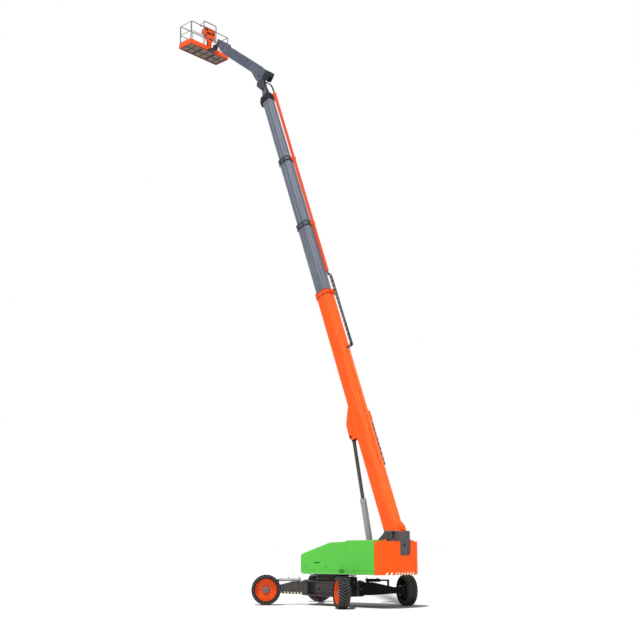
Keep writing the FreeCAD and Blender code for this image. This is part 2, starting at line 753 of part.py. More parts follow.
def make_carrier():
    """The hose carrier on the innermost section, and the link chain's tray and the chain on the base section."""
    tip = fly_tip(3)
    tail = f"{tip} - carrier_length"
    top = "-boom_drop + tube_height / 2"
    carrier = Piece("carrier_tube")
    outer = rectangle("-carrier_y - carrier_half", "-carrier_y + carrier_half", f"{top} + carrier_rise",
                      f"{top} + carrier_rise + carrier_height")
    inner = rectangle("-carrier_y - carrier_half + 5", "-carrier_y + carrier_half - 5", f"{top} + carrier_rise + 5",
                      f"{top} + carrier_rise + carrier_height - 5")
    carrier.pad("YZ", [outer, inner], tail, f"{tip} + 10")
    post_foot = f"{top} - 3 * (tube_wall + tube_gap) + collar_rim"
    post = rectangle("-carrier_y - carrier_half + 15", "-carrier_y + carrier_half - 15", post_foot,
                     f"{top} + carrier_rise + 2")
    carrier.pad("YZ", [post], f"{tip} - 150", f"{tip} - 20")
    place_on_boom(carrier)

    tray = Piece("chain_tray")
    end = "base_length - tray_stop"
    tray_outline = [
        (f"-tray_half", top), (f"tray_half", top), (f"tray_half", f"{top} + tray_height"),
        (f"-tray_half", f"{top} + tray_height"),
    ]
    hollow = rectangle("-tray_half + 4", "tray_half - 4", f"{top} + 4", f"{top} + tray_height - 4")
    tray.pad("YZ", [tray_outline, hollow], "tray_start", end)
    place_on_boom(tray)

    chain = Piece("energy_chain")
    low = f"{top} + 4 + fit_gap"
    high = f"{top} + tray_height - 4 - fit_gap"
    outer = f"{top} + chain_rise"
    under = f"{outer} - chain_height"
    bend = [
        (f"{end} - 500", low),
        (f"{end} + 60", low),
        (f"{end} + 95", f"{low} + 35"),
        (f"{end} + 95", f"{under} - 20"),
        (f"{end} + 115", under),
        ("base_length + chain_lead", f"{under} - 50"),
        ("base_length + chain_lead + 190", f"{top} + 60"),
        ("base_length + chain_lead + 260", f"{top} + 125"),
        ("base_length + chain_lead + 30", f"{outer} - 45"),
        (f"{end} + 70", outer),
        (f"{end} + 25", f"{outer} - 30"),
        (f"{end} + 15", f"{outer} - 80"),
        (f"{end} + 15", high),
        (f"{end} - 500", high),
    ]
    chain.pad("XZ", [bend], "-chain_half", "chain_half")
    place_on_boom(chain)


def make_lift_cylinder():
    """The lift cylinder: a barrel footed on the deck and a rod whose eye lies at the boom's bracket."""
    eye_x, eye_z = on_boom("lift_eye_along", "-lift_eye_drop")
    angle = f"atan2(({eye_z}) - lift_foot_z; ({eye_x}) - lift_foot_x) / 1 deg"
    length = f"hypot(({eye_x}) - lift_foot_x; ({eye_z}) - lift_foot_z)"
    barrel = Piece("lift_barrel")
    barrel.pad("YZ", [("0", "0", "lift_barrel_radius"), ("0", "0", "lift_bore_radius + fit_gap")], "150",
               "lift_barrel_length - 60")
    barrel.pad("YZ", [("0", "0", "lift_barrel_radius + 8"), ("0", "0", "lift_rod_radius + fit_gap")],
               "lift_barrel_length - 60", "lift_barrel_length")
    barrel.pad("YZ", [("0", "0", "lift_barrel_radius")], "90", "160")
    barrel.pad("XZ", [("0", "0", "95")], "-58", "58")
    barrel.pad("YZ", [rectangle("-58", "58", "-80", "80")], "0", "120")
    barrel.pocket("XZ", [("0", "0", "50 + fit_gap")], "-60", "60")
    barrel.place("lift_foot_x", "0", "lift_foot_z", axis=(0, -1, 0), angle=angle)
    rod = Piece("lift_rod")
    rod.pad("YZ", [("0", "0", "lift_rod_radius")], "lift_rod_start", f"{length} - 60")
    rod.pad("YZ", [("0", "0", "lift_bore_radius")], "lift_rod_start", "lift_rod_start + 80")
    rod.pad("XZ", [(length, "0", "lift_eye_radius")], "-lift_eye_half", "lift_eye_half")
    rod.place("lift_foot_x", "0", "lift_foot_z", axis=(0, -1, 0), angle=angle)


# ---------------------------------------------------------------- head, jib and platform

NOSE_X, NOSE_Z = on_boom(f"{fly_tip(3)} + nose_length", "-boom_drop")
BASE_X = f"({NOSE_X}) + jib_base_x"
BASE_Z = f"({NOSE_Z}) + jib_base_z"
HEAD_X = f"({BASE_X}) + jib_length * cos(jib_angle) - jib_head_rise * sin(jib_angle)"
HEAD_Z = f"({BASE_Z}) + jib_length * sin(jib_angle) + jib_head_rise * cos(jib_angle)"


def make_jib_mount():
    """The levelled link between the boom's nose and the jib's base."""
    mount = Piece("jib_mount")
    link = [
        ("-90", "-60"),
        ("-30", "-90"),
        ("60", "-80"),
        ("jib_base_x + 60", "jib_base_z * 0.2"),
        ("jib_base_x + 230", "jib_base_z * 0.42"),
        ("jib_base_x + 230", "jib_base_z * 0.62"),
        ("jib_base_x + 110", "jib_base_z - 130"),
        ("jib_base_x + 70", "jib_base_z - 60"),
        ("jib_base_x + 70", "jib_base_z + 60"),
        ("jib_base_x - 70", "jib_base_z + 60"),
        ("-90", "60"),
    ]
    mount.pad("XZ", [link], "-94", "94")
    slot = rectangle("-50", "jib_base_x + 260", "-120", "jib_base_z + 80")
    mount.pocket("XZ", [slot], "-60", "60")
    mount.pocket("XZ", [("0", "0", "40 + fit_gap")], "-100", "100")
    for low, high in (("60", "170"), ("-170", "-60")):
        mount.pad("XZ", [("jib_base_x", "jib_base_z", "36")], low, high)
    mount.pad("XZ", [("jib_base_x + jib_foot_x", "jib_base_z - jib_foot_drop", "18")], "-70", "70")
    mount.place(NOSE_X, "0", NOSE_Z)


def make_jib():
    """The jib: a sleeved base with gusset cheeks, a box beam and a head of two cheeks, with a drive box behind."""
    jib = Piece("jib")
    top = "jib_depth - jib_under"
    side = [
        ("-190", "-60"),
        ("-120", "-150"),
        ("60", "-270"),
        ("200", "-230"),
        ("jib_eye_along + 60", "-jib_under - 30"),
        ("jib_eye_along + 160", "-jib_under"),
        ("jib_length - 780", "-jib_under"),
        ("jib_length - 330", "40"),
        ("jib_length + 20", "jib_head_rise - 100"),
        ("jib_length + 130", "jib_head_rise - 40"),
        ("jib_length + 205", f"{top} + 55"),
        ("jib_length - 620", f"{top} + 115"),
        ("jib_length - 760", f"{top} - 12"),
        ("jib_length * 0.49 + 60", f"{top} - 12"),
        ("jib_length * 0.49", f"{top} + 10"),
        ("-60", f"{top} + 10"),
        ("-190", f"{top} - 30"),
    ]
    jib.pad("XZ", [side], "-jib_width / 2", "jib_width / 2")
    jib.pocket("XZ", [rectangle("-260", "780", "-300", "190")], "-98", "98")
    hollow = rectangle("-jib_width / 2 + 10", "jib_width / 2 - 10", "10", f"{top} - 22")
    jib.pocket("YZ", [hollow], "-150", "jib_length - 700")
    jib.pocket("XZ", [("0", "0", "36 + fit_gap")], "-jib_width / 2 - 1", "jib_width / 2 + 1")
    for low, high in (("45", "jib_width / 2"), ("-jib_width / 2", "-45")):
        jib.pad("XZ", [("jib_eye_along", "-jib_eye_drop", "24")], low, high)
    mouth = [
        ("jib_length - 420", "-100"),
        ("jib_length + 240", "-100"),
        ("jib_length + 240", f"{top} + 130"),
        ("jib_length - 60", f"{top} + 130"),
        ("jib_length - 120", "jib_head_rise - 30"),
    ]
    jib.pocket("XZ", [mouth], "-81", "81")
    jib.pocket("XZ", [("jib_length", "jib_head_rise", "30 + fit_gap")], "-jib_width / 2 - 1", "jib_width / 2 + 1")
    jib.place(BASE_X, "0", BASE_Z, axis=(0, -1, 0), angle="jib_angle")

    box = Piece("jib_drive_box")
    shell = [
        ("-190 - fit_gap", "30"),
        ("-190 - fit_gap", f"{top} - 20"),
        ("-230", f"{top} + 30"),
        ("-540", f"{top} + 45"),
        ("-600", f"{top} - 20"),
        ("-620", "60"),
        ("-560", "-20"),
        ("-400", "-50"),
    ]
    box.pad("XZ", [shell], "-jib_width / 2 - 15", "jib_width / 2 + 15")
    box.pocket("XZ", [rectangle("-700", "-150", "-100", "230")], "-101", "101")
    box.place(BASE_X, "0", BASE_Z, axis=(0, -1, 0), angle="jib_angle")


def make_jib_cylinder():
    """The jib's cylinder between the levelled link and the jib's belly."""
    foot_x = f"({BASE_X}) + jib_foot_x"
    foot_z = f"({BASE_Z}) - jib_foot_drop"
    eye_x = "(jib_eye_along * cos(jib_angle) + jib_eye_drop * sin(jib_angle) - jib_foot_x)"
    eye_z = "(jib_eye_along * sin(jib_angle) - jib_eye_drop * cos(jib_angle) + jib_foot_drop)"
    angle = f"atan2({eye_z}; {eye_x}) / 1 deg"
    length = f"hypot({eye_x}; {eye_z})"
    barrel = Piece("jib_barrel")
    barrel.pad("YZ", [("0", "0", "jib_barrel_radius"), ("0", "0", "jib_bore_radius + fit_gap")], "40",
               "jib_barrel_length - 25")
    barrel.pad("YZ", [("0", "0", "jib_barrel_radius + 4"), ("0", "0", "jib_rod_radius + fit_gap")],
               "jib_barrel_length - 25", "jib_barrel_length")
    barrel.pad("YZ", [("0", "0", "jib_barrel_radius")], "22", "42")
    barrel.pad("XZ", [("0", "0", "34")], "-40", "40")
    barrel.pocket("XZ", [("0", "0", "18 + fit_gap")], "-45", "45")
    barrel.place(foot_x, "0", foot_z, axis=(0, -1, 0), angle=angle)
    rod = Piece("jib_rod")
    rod.pad("YZ", [("0", "0", "jib_rod_radius")], "jib_rod_start", f"{length} - 20")
    rod.pad("YZ", [("0", "0", "jib_bore_radius")], "jib_rod_start", "jib_rod_start + 20")
    rod.pad("XZ", [(length, "0", "38")], "-40", "40")
    rod.place(foot_x, "0", foot_z, axis=(0, -1, 0), angle=angle)


def make_platform_mount():
    """The levelled arm with the rotator that carries the platform."""
    mount = Piece("platform_mount")
    arm = [
        ("-60", "-60"),
        ("60", "-52"),
        ("turn_reach + 60", "-floor_drop + 70"),
        ("turn_reach + 60", "30"),
        ("60", "60"),
        ("-60", "60"),
    ]
    mount.pad("XZ", [arm], "-78", "78")
    mount.pad("XZ", [("0", "0", "30")], "-jib_width / 2 - 12", "jib_width / 2 + 12")
    mount.pad("XY", [("turn_reach", "0", "100")], "-floor_drop + 60 + fit_gap", "60")
    mount.pad("XY", [("turn_reach", "0", "spindle_radius")], "-floor_drop - 60", "-floor_drop + 70")
    mount.place(HEAD_X, "0", HEAD_Z)


def make_platform():
    """The work platform: floor and its carrier, rails, toe boards, control box and gate."""
    inner = "head_reach - turn_reach"
    outer = f"{inner} + platform_depth"
    half = "platform_length / 2"
    floor = Piece("platform_floor")
    top = "floor_frame"
    floor.pad("XY", [rectangle(inner, outer, f"-{half}", half)], "0", top)
    carrier = [
        ("-110", "-110"), ("110", "-110"), (f"{inner} + 5", "-160"), (f"{inner} + 5", "160"), ("110", "110"),
        ("-110", "110"),
    ]
    for side in (-1, 0, 1):
        bay = rectangle(f"{inner} + 60", f"{outer} - 60", f"({side} - 0.5) * platform_length * 0.31 + 25",
                        f"({side} + 0.5) * platform_length * 0.31 - 25")
        floor.pocket("XY", [bay], "-1", f"{top} - 6")
    floor.pad("XY", [carrier], "-40", "60")
    floor.pocket("XY", [("0", "0", "spindle_radius + fit_gap")], "-41", "61")
    turn_x = f"({HEAD_X}) + turn_reach"
    base_z = f"({HEAD_Z}) - floor_drop"
    floor.place(turn_x, "0", base_z)

    toe = Piece("toe_boards")
    ring = [
        rectangle(inner, outer, f"-{half}", half),
        rectangle(f"{inner} + toe_plate", f"{outer} - toe_plate", f"-{half} + toe_plate", f"{half} - toe_plate"),
    ]
    toe.pad("XY", ring, top, f"{top} + toe_height")
    toe.place(turn_x, "0", base_z)

    make_rails(inner, outer, half, turn_x, base_z)
    console = Piece("platform_console")
    face = f"{inner} + 30 + rail_radius + fit_gap"
    back = [
        ("-130", top),
        ("130", top),
        ("150", f"{top} + 420"),
        ("console_half_width - 50", f"{top} + 660"),
        ("console_half_width", f"{top} + console_height"),
        ("-console_half_width", f"{top} + console_height"),
        ("-console_half_width + 50", f"{top} + 660"),
        ("-150", f"{top} + 420"),
    ]
    console.pad("YZ", [back], face, f"{face} + 50")
    desk = [
        (f"{face} + 10", f"{top} + console_height - 420"),
        (f"{face} + 270", f"{top} + console_height - 320"),
        (f"{face} + 240", f"{top} + console_height - 160"),
        (f"{face} + 10", f"{top} + console_height - 30"),
    ]
    console.pad("XZ", [desk], "-console_half_width + 35", "console_half_width - 35")
    console.place(turn_x, "0", base_z)


def make_rails(inner, outer, half, turn_x, base_z):
    """The platform's guard rails and posts, and the gate in its left end."""
    foot = "floor_frame"
    rails = Piece("platform_rails")
    near = f"{inner} + 30"
    far = f"{outer} - 30"
    side = f"{half} - 30"
    for level in ("rail_height", "rail_height / 2 + 60"):
        for x in (near, far):
            rails.pad("XZ", [(x, f"{foot} + {level}", "rail_radius")], f"-({side})", side)
        rails.pad("YZ", [(f"-({side})", f"{foot} + {level}", "rail_radius")], near, far)
    for x in (near, far):
        for y in (f"-({side})", f"-({side}) / 3", f"({side}) / 3", side):
            rails.pad("XY", [(x, y, "rail_radius - 3")], foot, f"{foot} + rail_height")
    for y in (f"-({side}) / 3", f"({side}) / 3"):
        rails.pad("XY", [(near, y, "rail_radius - 3")], f"{foot} + rail_height", f"{foot} + hoop_height")
    rails.pad("XZ", [(near, f"{foot} + hoop_height", "rail_radius")], f"-({side}) / 3", f"({side}) / 3")
    rest = rectangle(near, f"{near} + 62", f"{side} - 14", f"{side} + 14")
    rails.pad("XY", [rest], f"{foot} + 152", f"{foot} + 170 - fit_gap")
    rails.place(turn_x, "0", base_z)

    gate = Piece("platform_gate")
    start = f"{near} + 48"
    stop = f"{far} - 42"
    for level in ("rail_height", "rail_height / 2 + 60", "200"):
        gate.pad("YZ", [(side, f"{foot} + {level}", "rail_radius - 3")], start, stop)
    for x in (start, stop):
        gate.pad("XY", [(x, side, "rail_radius - 5")], f"{foot} + 170", f"{foot} + rail_height + 12")
    gate.place(turn_x, "0", base_z)


# ---------------------------------------------------------------- build


def build():
    """Make every sub-part."""
    fill_sheet()
    make_chassis()
    for name in CORNERS:
        make_corner(name)
    make_turntable()
    make_riser()
    make_counterweight()
    make_hood("hood_left", 1)
    make_hood("hood_right", -1)
    make_boom_base()
    for level in (1, 2, 3):
        make_fly(level)
    make_carrier()
    make_lift_cylinder()
    make_jib_mount()
    make_jib()
    make_jib_cylinder()
    make_platform_mount()
    make_platform()
    DOC.recompute()


def check():
    """Stop if any object failed or any sub-part has no valid shape."""
    for item in DOC.Objects:
        if "Invalid" in item.State or "Error" in item.State:
            raise RuntimeError(f"{item.Label} is {item.State}")
    for piece in PIECES:
        if piece.Shape.isNull() or not piece.Shape.isValid():
            raise RuntimeError(f"{piece.Label} has no valid shape")


def write():
    """Write each sub-part to its own STEP file."""
    os.makedirs("parts", exist_ok=True)
    for piece in PIECES:
        piece.Shape.exportStep(f"parts/{piece.Label}.step")
        print(f"{piece.Label}: {len(piece.Shape.Solids)} solids, {piece.Shape.Volume / 1e9:.4f} m3")


build()
check()
write()
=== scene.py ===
"""Looks of the telescopic boom lift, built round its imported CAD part."""

import json
from math import atan2, cos, hypot, pi, radians, sin

import bpy
import bmesh
from mathutils import Matrix, Vector

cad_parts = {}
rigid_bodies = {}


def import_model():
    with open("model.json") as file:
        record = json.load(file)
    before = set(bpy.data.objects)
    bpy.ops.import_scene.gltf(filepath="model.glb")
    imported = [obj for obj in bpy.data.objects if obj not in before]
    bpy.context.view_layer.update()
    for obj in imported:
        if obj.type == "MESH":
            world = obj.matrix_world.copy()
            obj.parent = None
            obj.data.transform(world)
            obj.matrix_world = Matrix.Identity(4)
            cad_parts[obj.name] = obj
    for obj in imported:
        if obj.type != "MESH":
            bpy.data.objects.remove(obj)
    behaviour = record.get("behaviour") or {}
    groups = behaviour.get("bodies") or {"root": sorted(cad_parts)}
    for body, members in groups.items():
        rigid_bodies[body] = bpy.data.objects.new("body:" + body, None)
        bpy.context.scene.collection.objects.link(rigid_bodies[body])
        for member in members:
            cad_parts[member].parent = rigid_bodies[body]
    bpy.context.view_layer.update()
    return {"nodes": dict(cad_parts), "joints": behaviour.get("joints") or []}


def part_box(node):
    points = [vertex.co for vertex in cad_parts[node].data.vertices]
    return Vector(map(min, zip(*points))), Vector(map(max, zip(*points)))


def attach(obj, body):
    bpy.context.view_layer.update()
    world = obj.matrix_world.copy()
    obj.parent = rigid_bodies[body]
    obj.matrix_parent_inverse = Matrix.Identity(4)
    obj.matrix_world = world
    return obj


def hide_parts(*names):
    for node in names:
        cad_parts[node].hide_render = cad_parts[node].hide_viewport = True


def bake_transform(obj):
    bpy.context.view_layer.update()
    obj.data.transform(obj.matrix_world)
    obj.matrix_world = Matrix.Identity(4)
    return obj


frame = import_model()

scene = bpy.context.scene
NODES = frame["nodes"]
JOINTS = {j["name"]: j for j in frame["joints"]}
CORNERS = ("front_left", "front_right", "rear_left", "rear_right")
SIDES = (1, -1)
X, UP = (1, 0, 0), (0, 0, 1)


def place(joint):
    """Where a joint lies, in metres."""
    return Vector(JOINTS[joint]["pos_m"])


def put(name, data):
    """A new object in the scene."""
    new = bpy.data.objects.new(name, data)
    scene.collection.objects.link(new)
    return new


AXIS = place("swing").to_2d().to_3d()

# ---------------- camera

CAMERA_PITCH, CAMERA_HEADING = .2246, -.8262
camera_data = bpy.data.cameras.new("camera")
camera_data.lens = 58.22
camera_data.sensor_width = 36.0
camera_data.clip_end = 900.0
camera = put("camera", camera_data)
camera.location = AXIS + Vector((-27.979, 31.092, 2.135))
camera.rotation_euler = (pi / 2 + CAMERA_PITCH, 0.0, CAMERA_HEADING - pi / 2)
scene.camera = camera
scene.view_settings.view_transform = "Standard"


# ---------------- finishes

def finish_of(name, base, second, rough=.45, metal=0.0, scale=3.0, swing=.1, bump=0.0, grain=200.0, grime=0.0,
        soil=(.09, .08, .07), gloss=.16, edge=0.0, wear=0.0, bare=(.3, .3, .3), streak=1.0):
    """A painted, rubber or metal surface that drifts in colour, gathers dirt and turns lighter at its edges, part
    wear and part painted edge highlight.
    """
    mat = bpy.data.materials.new(name)
    mat.use_nodes = True
    tree = mat.node_tree
    tree.nodes.clear()
    link = tree.links.new

    def node(kind, *values, output=0, setting=None, **inputs):
        """An output of a new node, its inputs linked or set in order or by name."""
        new = tree.nodes.new("ShaderNode" + kind)
        if setting:
            setattr(new, *setting)
        named = [(new.inputs[key.replace("_", " ")], value) for key, value in inputs.items()]
        for socket, value in [*zip(new.inputs, values), *named]:
            if isinstance(value, bpy.types.NodeSocket):
                link(value, socket)
            else:
                socket.default_value = value
        return new.outputs[output]

    def mixed(mask, under, over):
        """A colour with another over it where the mask says."""
        return node("Mix", output="Result", setting=("data_type", "RGBA"), Factor=mask, A=under, B=(*over, 1))

    out = tree.nodes.new("ShaderNodeOutputMaterial")
    shader = node("BsdfPrincipled", Metallic=metal, Specular_IOR_Level=gloss)
    link(shader, out.inputs["Surface"])
    skin = shader.node.inputs
    coord = node("TexCoord", output="Object")
    warp = node("Mapping", Scale=(1, 1, streak), Vector=coord)
    noise = node("TexNoise", Scale=scale, Detail=6, Vector=warp)
    colour = node("ValToRGB", Fac=noise)
    for stop, position, tint in zip(colour.node.color_ramp.elements, (.3, .7), (second, base)):
        stop.position, stop.color = position, (*tint, 1)
    if grime > 0:
        spots = node("TexNoise", Scale=scale * 4.3, Detail=9, Roughness=.7, Vector=warp)
        colour = mixed(node("MapRange", From_Min=.5, From_Max=.8, To_Max=grime, Value=spots), colour, soil)
    normal = None
    if edge > 0:
        normal = node("Bevel", setting=("samples", 4), Radius=edge)
        # Edges are mixed toward a lighter tint of the surface: part wear, part painted edge highlight.
        if wear > 0:
            flat = node("NewGeometry", output="True Normal")
            bend = node("VectorMath", normal, flat, output="Value", setting=("operation", "DOT_PRODUCT"))
            edge_wear_and_sheen_mask = node("MapRange", From_Min=.99, From_Max=.8, To_Max=wear, Value=bend)
            colour = mixed(node("Math", edge_wear_and_sheen_mask, noise, setting=("operation", "MULTIPLY")), colour, bare)
    link(colour, skin["Base Color"])
    rough_range = {"To_Min": max(.03, rough - swing), "To_Max": min(1.0, rough + swing)}
    link(node("MapRange", Value=noise, **rough_range), skin["Roughness"])
    if bump > 0:
        fine = node("TexNoise", Scale=grain, Detail=3, Vector=coord)
        under = {"Normal": normal} if normal else {}
        normal = node("Bump", Strength=bump, Distance=.002, Height=fine, **under)
    if normal:
        link(normal, skin["Normal"])
    return mat


# Name, slot, two colours in thousandths, rough, bump, grime, edge, and what else differs from the usual.
# The first finish of a slot is the one its CAD faces get.
FINISH_LINES = """
charcoal_paint dark_frame 36 34 34 26 25 25 .5 .15 .3 .008 wear .5 bare 160 155 150
frame_grey_paint grey_frame 95 88 86 70 64 62 .5 .15 .25 .008 wear .5 bare 250 240 230
wheel_orange rim_orange 860 100 12 720 72 9 .42 .1 .25 .006 gloss .08 wear .4 bare 950 400 200
tyre_rubber tyre 20 20 21 12 12 13 .85 .5 .35 0 grain 90 soil 55 50 45 gloss .2
cast_orange counterweight 970 108 13 900 94 10 .5 .4 .08 .016 gloss .05 grain 60
    wear .4 bare 950 330 160 streak .35 soil 450 70 20
hood_green hood 105 520 68 97 490 62 .4 .05 0 .012 gloss .08 scale 1.2 wear .35 bare 300 720 250 streak .3
engine_grey engine 80 80 83 40 40 42 .6 0 .4 .006 metal .3
slate_paint boom 130 148 188 110 127 162 .42 .06 .12 .008 scale 1.6 wear .35 bare 300 330 380 streak .2
boom_orange_paint boom_orange 970 108 16 910 96 13 .42 .08 0 .008 gloss .06 scale 1.4
    wear .35 bare 980 360 180 streak .2
chain_links chain 40 34 30 22 19 18 .6 0 .3 0 metal .3
cylinder_grey cylinder 330 330 335 270 270 275 .4 0 .2 .004 soil 140 130 120
dark_chrome rod 88 90 94 62 63 66 .28 0 0 0 metal .55 swing .06
black_cover black_plastic 20 20 22 13 13 14 .55 .3 0 .01 wear .3 bare 100 100 105
rail_grey rail 220 220 235 170 170 185 .42 0 .2 0
red_plastic boom_orange 620 25 18 500 18 14 .35 .05 0 0
stripe_cream counterweight 880 800 620 800 700 500 .5 0 .2 0 scale 9
stripe_dark counterweight 30 29 28 20 19 19 .5 0 .3 0 scale 9
stripe_orange counterweight 520 55 12 420 40 9 .5 0 0 0 scale 9
zinc_steel grey_frame 420 420 420 320 320 320 .38 0 .3 0 metal .7 scale 20
dark_steel dark_frame 30 26 32 18 16 20 .4 0 0 0 metal .4
hub_grey grey_frame 200 200 205 140 140 145 .45 0 .3 .004 metal .2
tread_rubber tyre 130 128 126 80 78 76 .85 .4 .5 .006 grain 120 soil 120 110 100 gloss .2
drum_brown dark_frame 40 16 12 22 12 10 .6 .3 .4 .006
sleeve_grey cylinder 560 560 570 480 480 490 .35 0 .2 0
arm_black dark_frame 16 15 15 11 11 11 .6 .15 .2 .008 gloss .1 wear .4 bare 70 68 65
hose_rubber black_plastic 22 22 23 14 14 15 .6 .3 0 0 grain 300
drive_box_navy boom 24 24 34 16 16 24 .5 .2 0 .01 wear .3 bare 100 100 120
tray_orange boom_orange 1000 190 50 970 170 44 .45 .08 0 .006 gloss .06 scale 1.4 wear .35 bare 980 400 220 streak .2
carrier_red boom_orange 800 100 48 700 84 40 .45 .08 0 .006 gloss .06 scale 1.4 wear .35 bare 900 340 220 streak .2
jib_slate boom 98 112 150 82 94 128 .42 .06 .12 .008 scale 1.6 wear .35 bare 280 310 360 streak .2
link_slate boom 60 66 82 45 50 64 .45 .1 .2 .01 wear .6 bare 240 260 310
recess_dark_green hood 20 75 16 14 55 12 .6 .2 0 0
lip_green hood 270 720 220 220 650 170 .35 .05 0 0
seam_green hood 45 240 34 38 205 28 .5 0 0 0
seam_orange counterweight 550 52 10 480 42 8 .5 0 0 0
worn_edge_grey grey_frame 210 205 200 150 147 143 .45 0 .3 0
collar_black boom 16 16 19 10 10 12 .45 0 0 .004
collar_burnt_orange boom_orange 400 40 8 320 30 6 .5 0 0 0
wear_pad_black boom 30 30 33 18 18 20 .6 0 .3 0
slate_edge boom 420 440 500 350 370 430 .35 0 0 0
orange_edge boom_orange 980 300 120 950 240 85 .35 0 0 0
link_plate chain 360 330 280 280 255 215 .5 0 .4 0 metal .3
link_plate_dark chain 70 62 52 45 40 34 .5 0 .4 0 metal .3
mesh_grey grey_frame 240 200 170 160 135 118 .5 0 .3 0
rim_red boom_orange 360 65 35 260 45 26 .5 0 .3 0 soil 120 40 30
beam_brown dark_frame 60 30 22 36 20 16 .6 0 .3 0
rail_grip rail 200 200 215 150 150 162 .5 0 0 0
seam_slate boom 215 235 285 175 195 240 .4 0 0 0
floor_white - 310 310 310 300 300 300 .9 0 0 0 gloss 0
"""
FINISH, SLOT = {}, {}


def thousandths(words):
    """Numbers written as thousandths."""
    return tuple(float(word + "e-3") for word in words)


for line in FINISH_LINES.replace("\n    ", " ").strip().splitlines():
    name, slot, *words = line.split()
    base, second = thousandths(words[:3]), thousandths(words[3:6])
    wanted = dict(zip(("rough", "bump", "grime", "edge"), map(float, words[6:10])))
    words = words[10:]
    while words:
        field, taken = words[0], 3 if words[0] in ("soil", "bare") else 1
        wanted[field] = thousandths(words[1:4]) if taken == 3 else float(words[1])
        words = words[1 + taken:]
    FINISH[name] = finish_of(name, base, second, **wanted)
    FINISH.setdefault(slot, FINISH[name])
    SLOT[name] = SLOT[slot] = slot

# CAD faces take their slot's first finish; the rods' dark grey metal is a painted reflection.
for node in NODES.values():
    for index, old in enumerate(node.data.materials):
        node.data.materials[index] = FINISH[old.name.split(".")[0]]
# The chain tray's lighter orange is painted light on a side that the fill lamp does not reach.
for name, key in (("jib_drive_box", "drive_box_navy"), ("jib", "jib_slate"), ("jib_mount", "link_slate"),
        ("carrier_tube", "carrier_red"), ("chain_tray", "tray_orange")):
    NODES[name].data.materials[0] = FINISH[key]
# The rear arms are near-black all over: painted shade, as they sit in the body's shade.
for name in ("axle_arm_rear_left", "axle_arm_rear_right"):
    for index in range(len(NODES[name].data.materials)):
        NODES[name].data.materials[index] = FINISH["arm_black"]


# ---------------- mesh tools

def axes_at(origin, x_axis, z_hint):
    """A frame with its X along x_axis and its Z near z_hint."""
    x = Vector(x_axis).normalized()
    y = Vector(z_hint).cross(x).normalized()
    z = x.cross(y)
    return Matrix(((x.x, y.x, z.x, origin[0]), (x.y, y.y, z.y, origin[1]), (x.z, y.z, z.z, origin[2]), (0, 0, 0, 1)))


def mm(text):
    """Points written in millimetres, as metres."""
    return [thousandths(point.split()) for point in text.split(",")]


def rect(x0, y0, x1, y1):
    """The corners of a rectangle."""
    return [(x0, y0), (x1, y0), (x1, y1), (x0, y1)]


def octagon(wide, high, flat_wide, flat_high, middle=0.0):
    """The corners of an octagon that is as wide and high on its flats."""
    lower = [(-wide, -flat_high), (-flat_wide, -high), (flat_wide, -high), (wide, -flat_high)]
    return [(x, middle + y) for x, y in lower + [(-x, -y) for x, y in lower]]


def rounded(x0, y0, x1, y1, radius, steps=4):
    """The outline of a rectangle with round corners."""
    corners = rect(x0 + radius, y0 + radius, x1 - radius, y1 - radius)
    turns = [(corner, radians(90 * quarter + 90 * k / steps))
        for quarter, corner in enumerate((corners[2], corners[3], corners[0], corners[1]))
        for k in range(steps + 1)]
    return [(x + radius * cos(t), y + radius * sin(t)) for (x, y), t in turns]


def span(side, low, high):
    """A low and a high Y on one side."""
    return sorted((side * low, side * high))


def circle(count, radius, offset=0.0):
    """Points evenly round a circle."""
    turns = [2 * pi * (k + offset) / count for k in range(count)]
    return [(radius * cos(turn), radius * sin(turn)) for turn in turns]


def bend(points, steps=6):
    """A rounder path through points."""
    points = [Vector(p) for p in points]
    points = [points[0], *points, points[-1]]
    path = [.5 * ((2 * b) + (c - a) * t + (2 * a - 5 * b + 4 * c - d) * t * t + (3 * b - a - 3 * c + d) * t ** 3)
        for a, b, c, d in zip(points, points[1:], points[2:], points[3:])
        for t in (k / steps for k in range(steps))]
    return path + [points[-1]]


def ring_faces(rings, count, closed=False):
    """Quads between rings of count corners."""
    return [(r * count + i, r * count + (i + 1) % count, (r + 1) % rings * count + (i + 1) % count,
        (r + 1) % rings * count + i) for r in range(rings if closed else rings - 1) for i in range(count)]


def end_faces(rings, count):
    """The faces of the first and the last ring."""
    return [tuple(range(count))[::-1], tuple(range(count * (rings - 1), count * rings))]


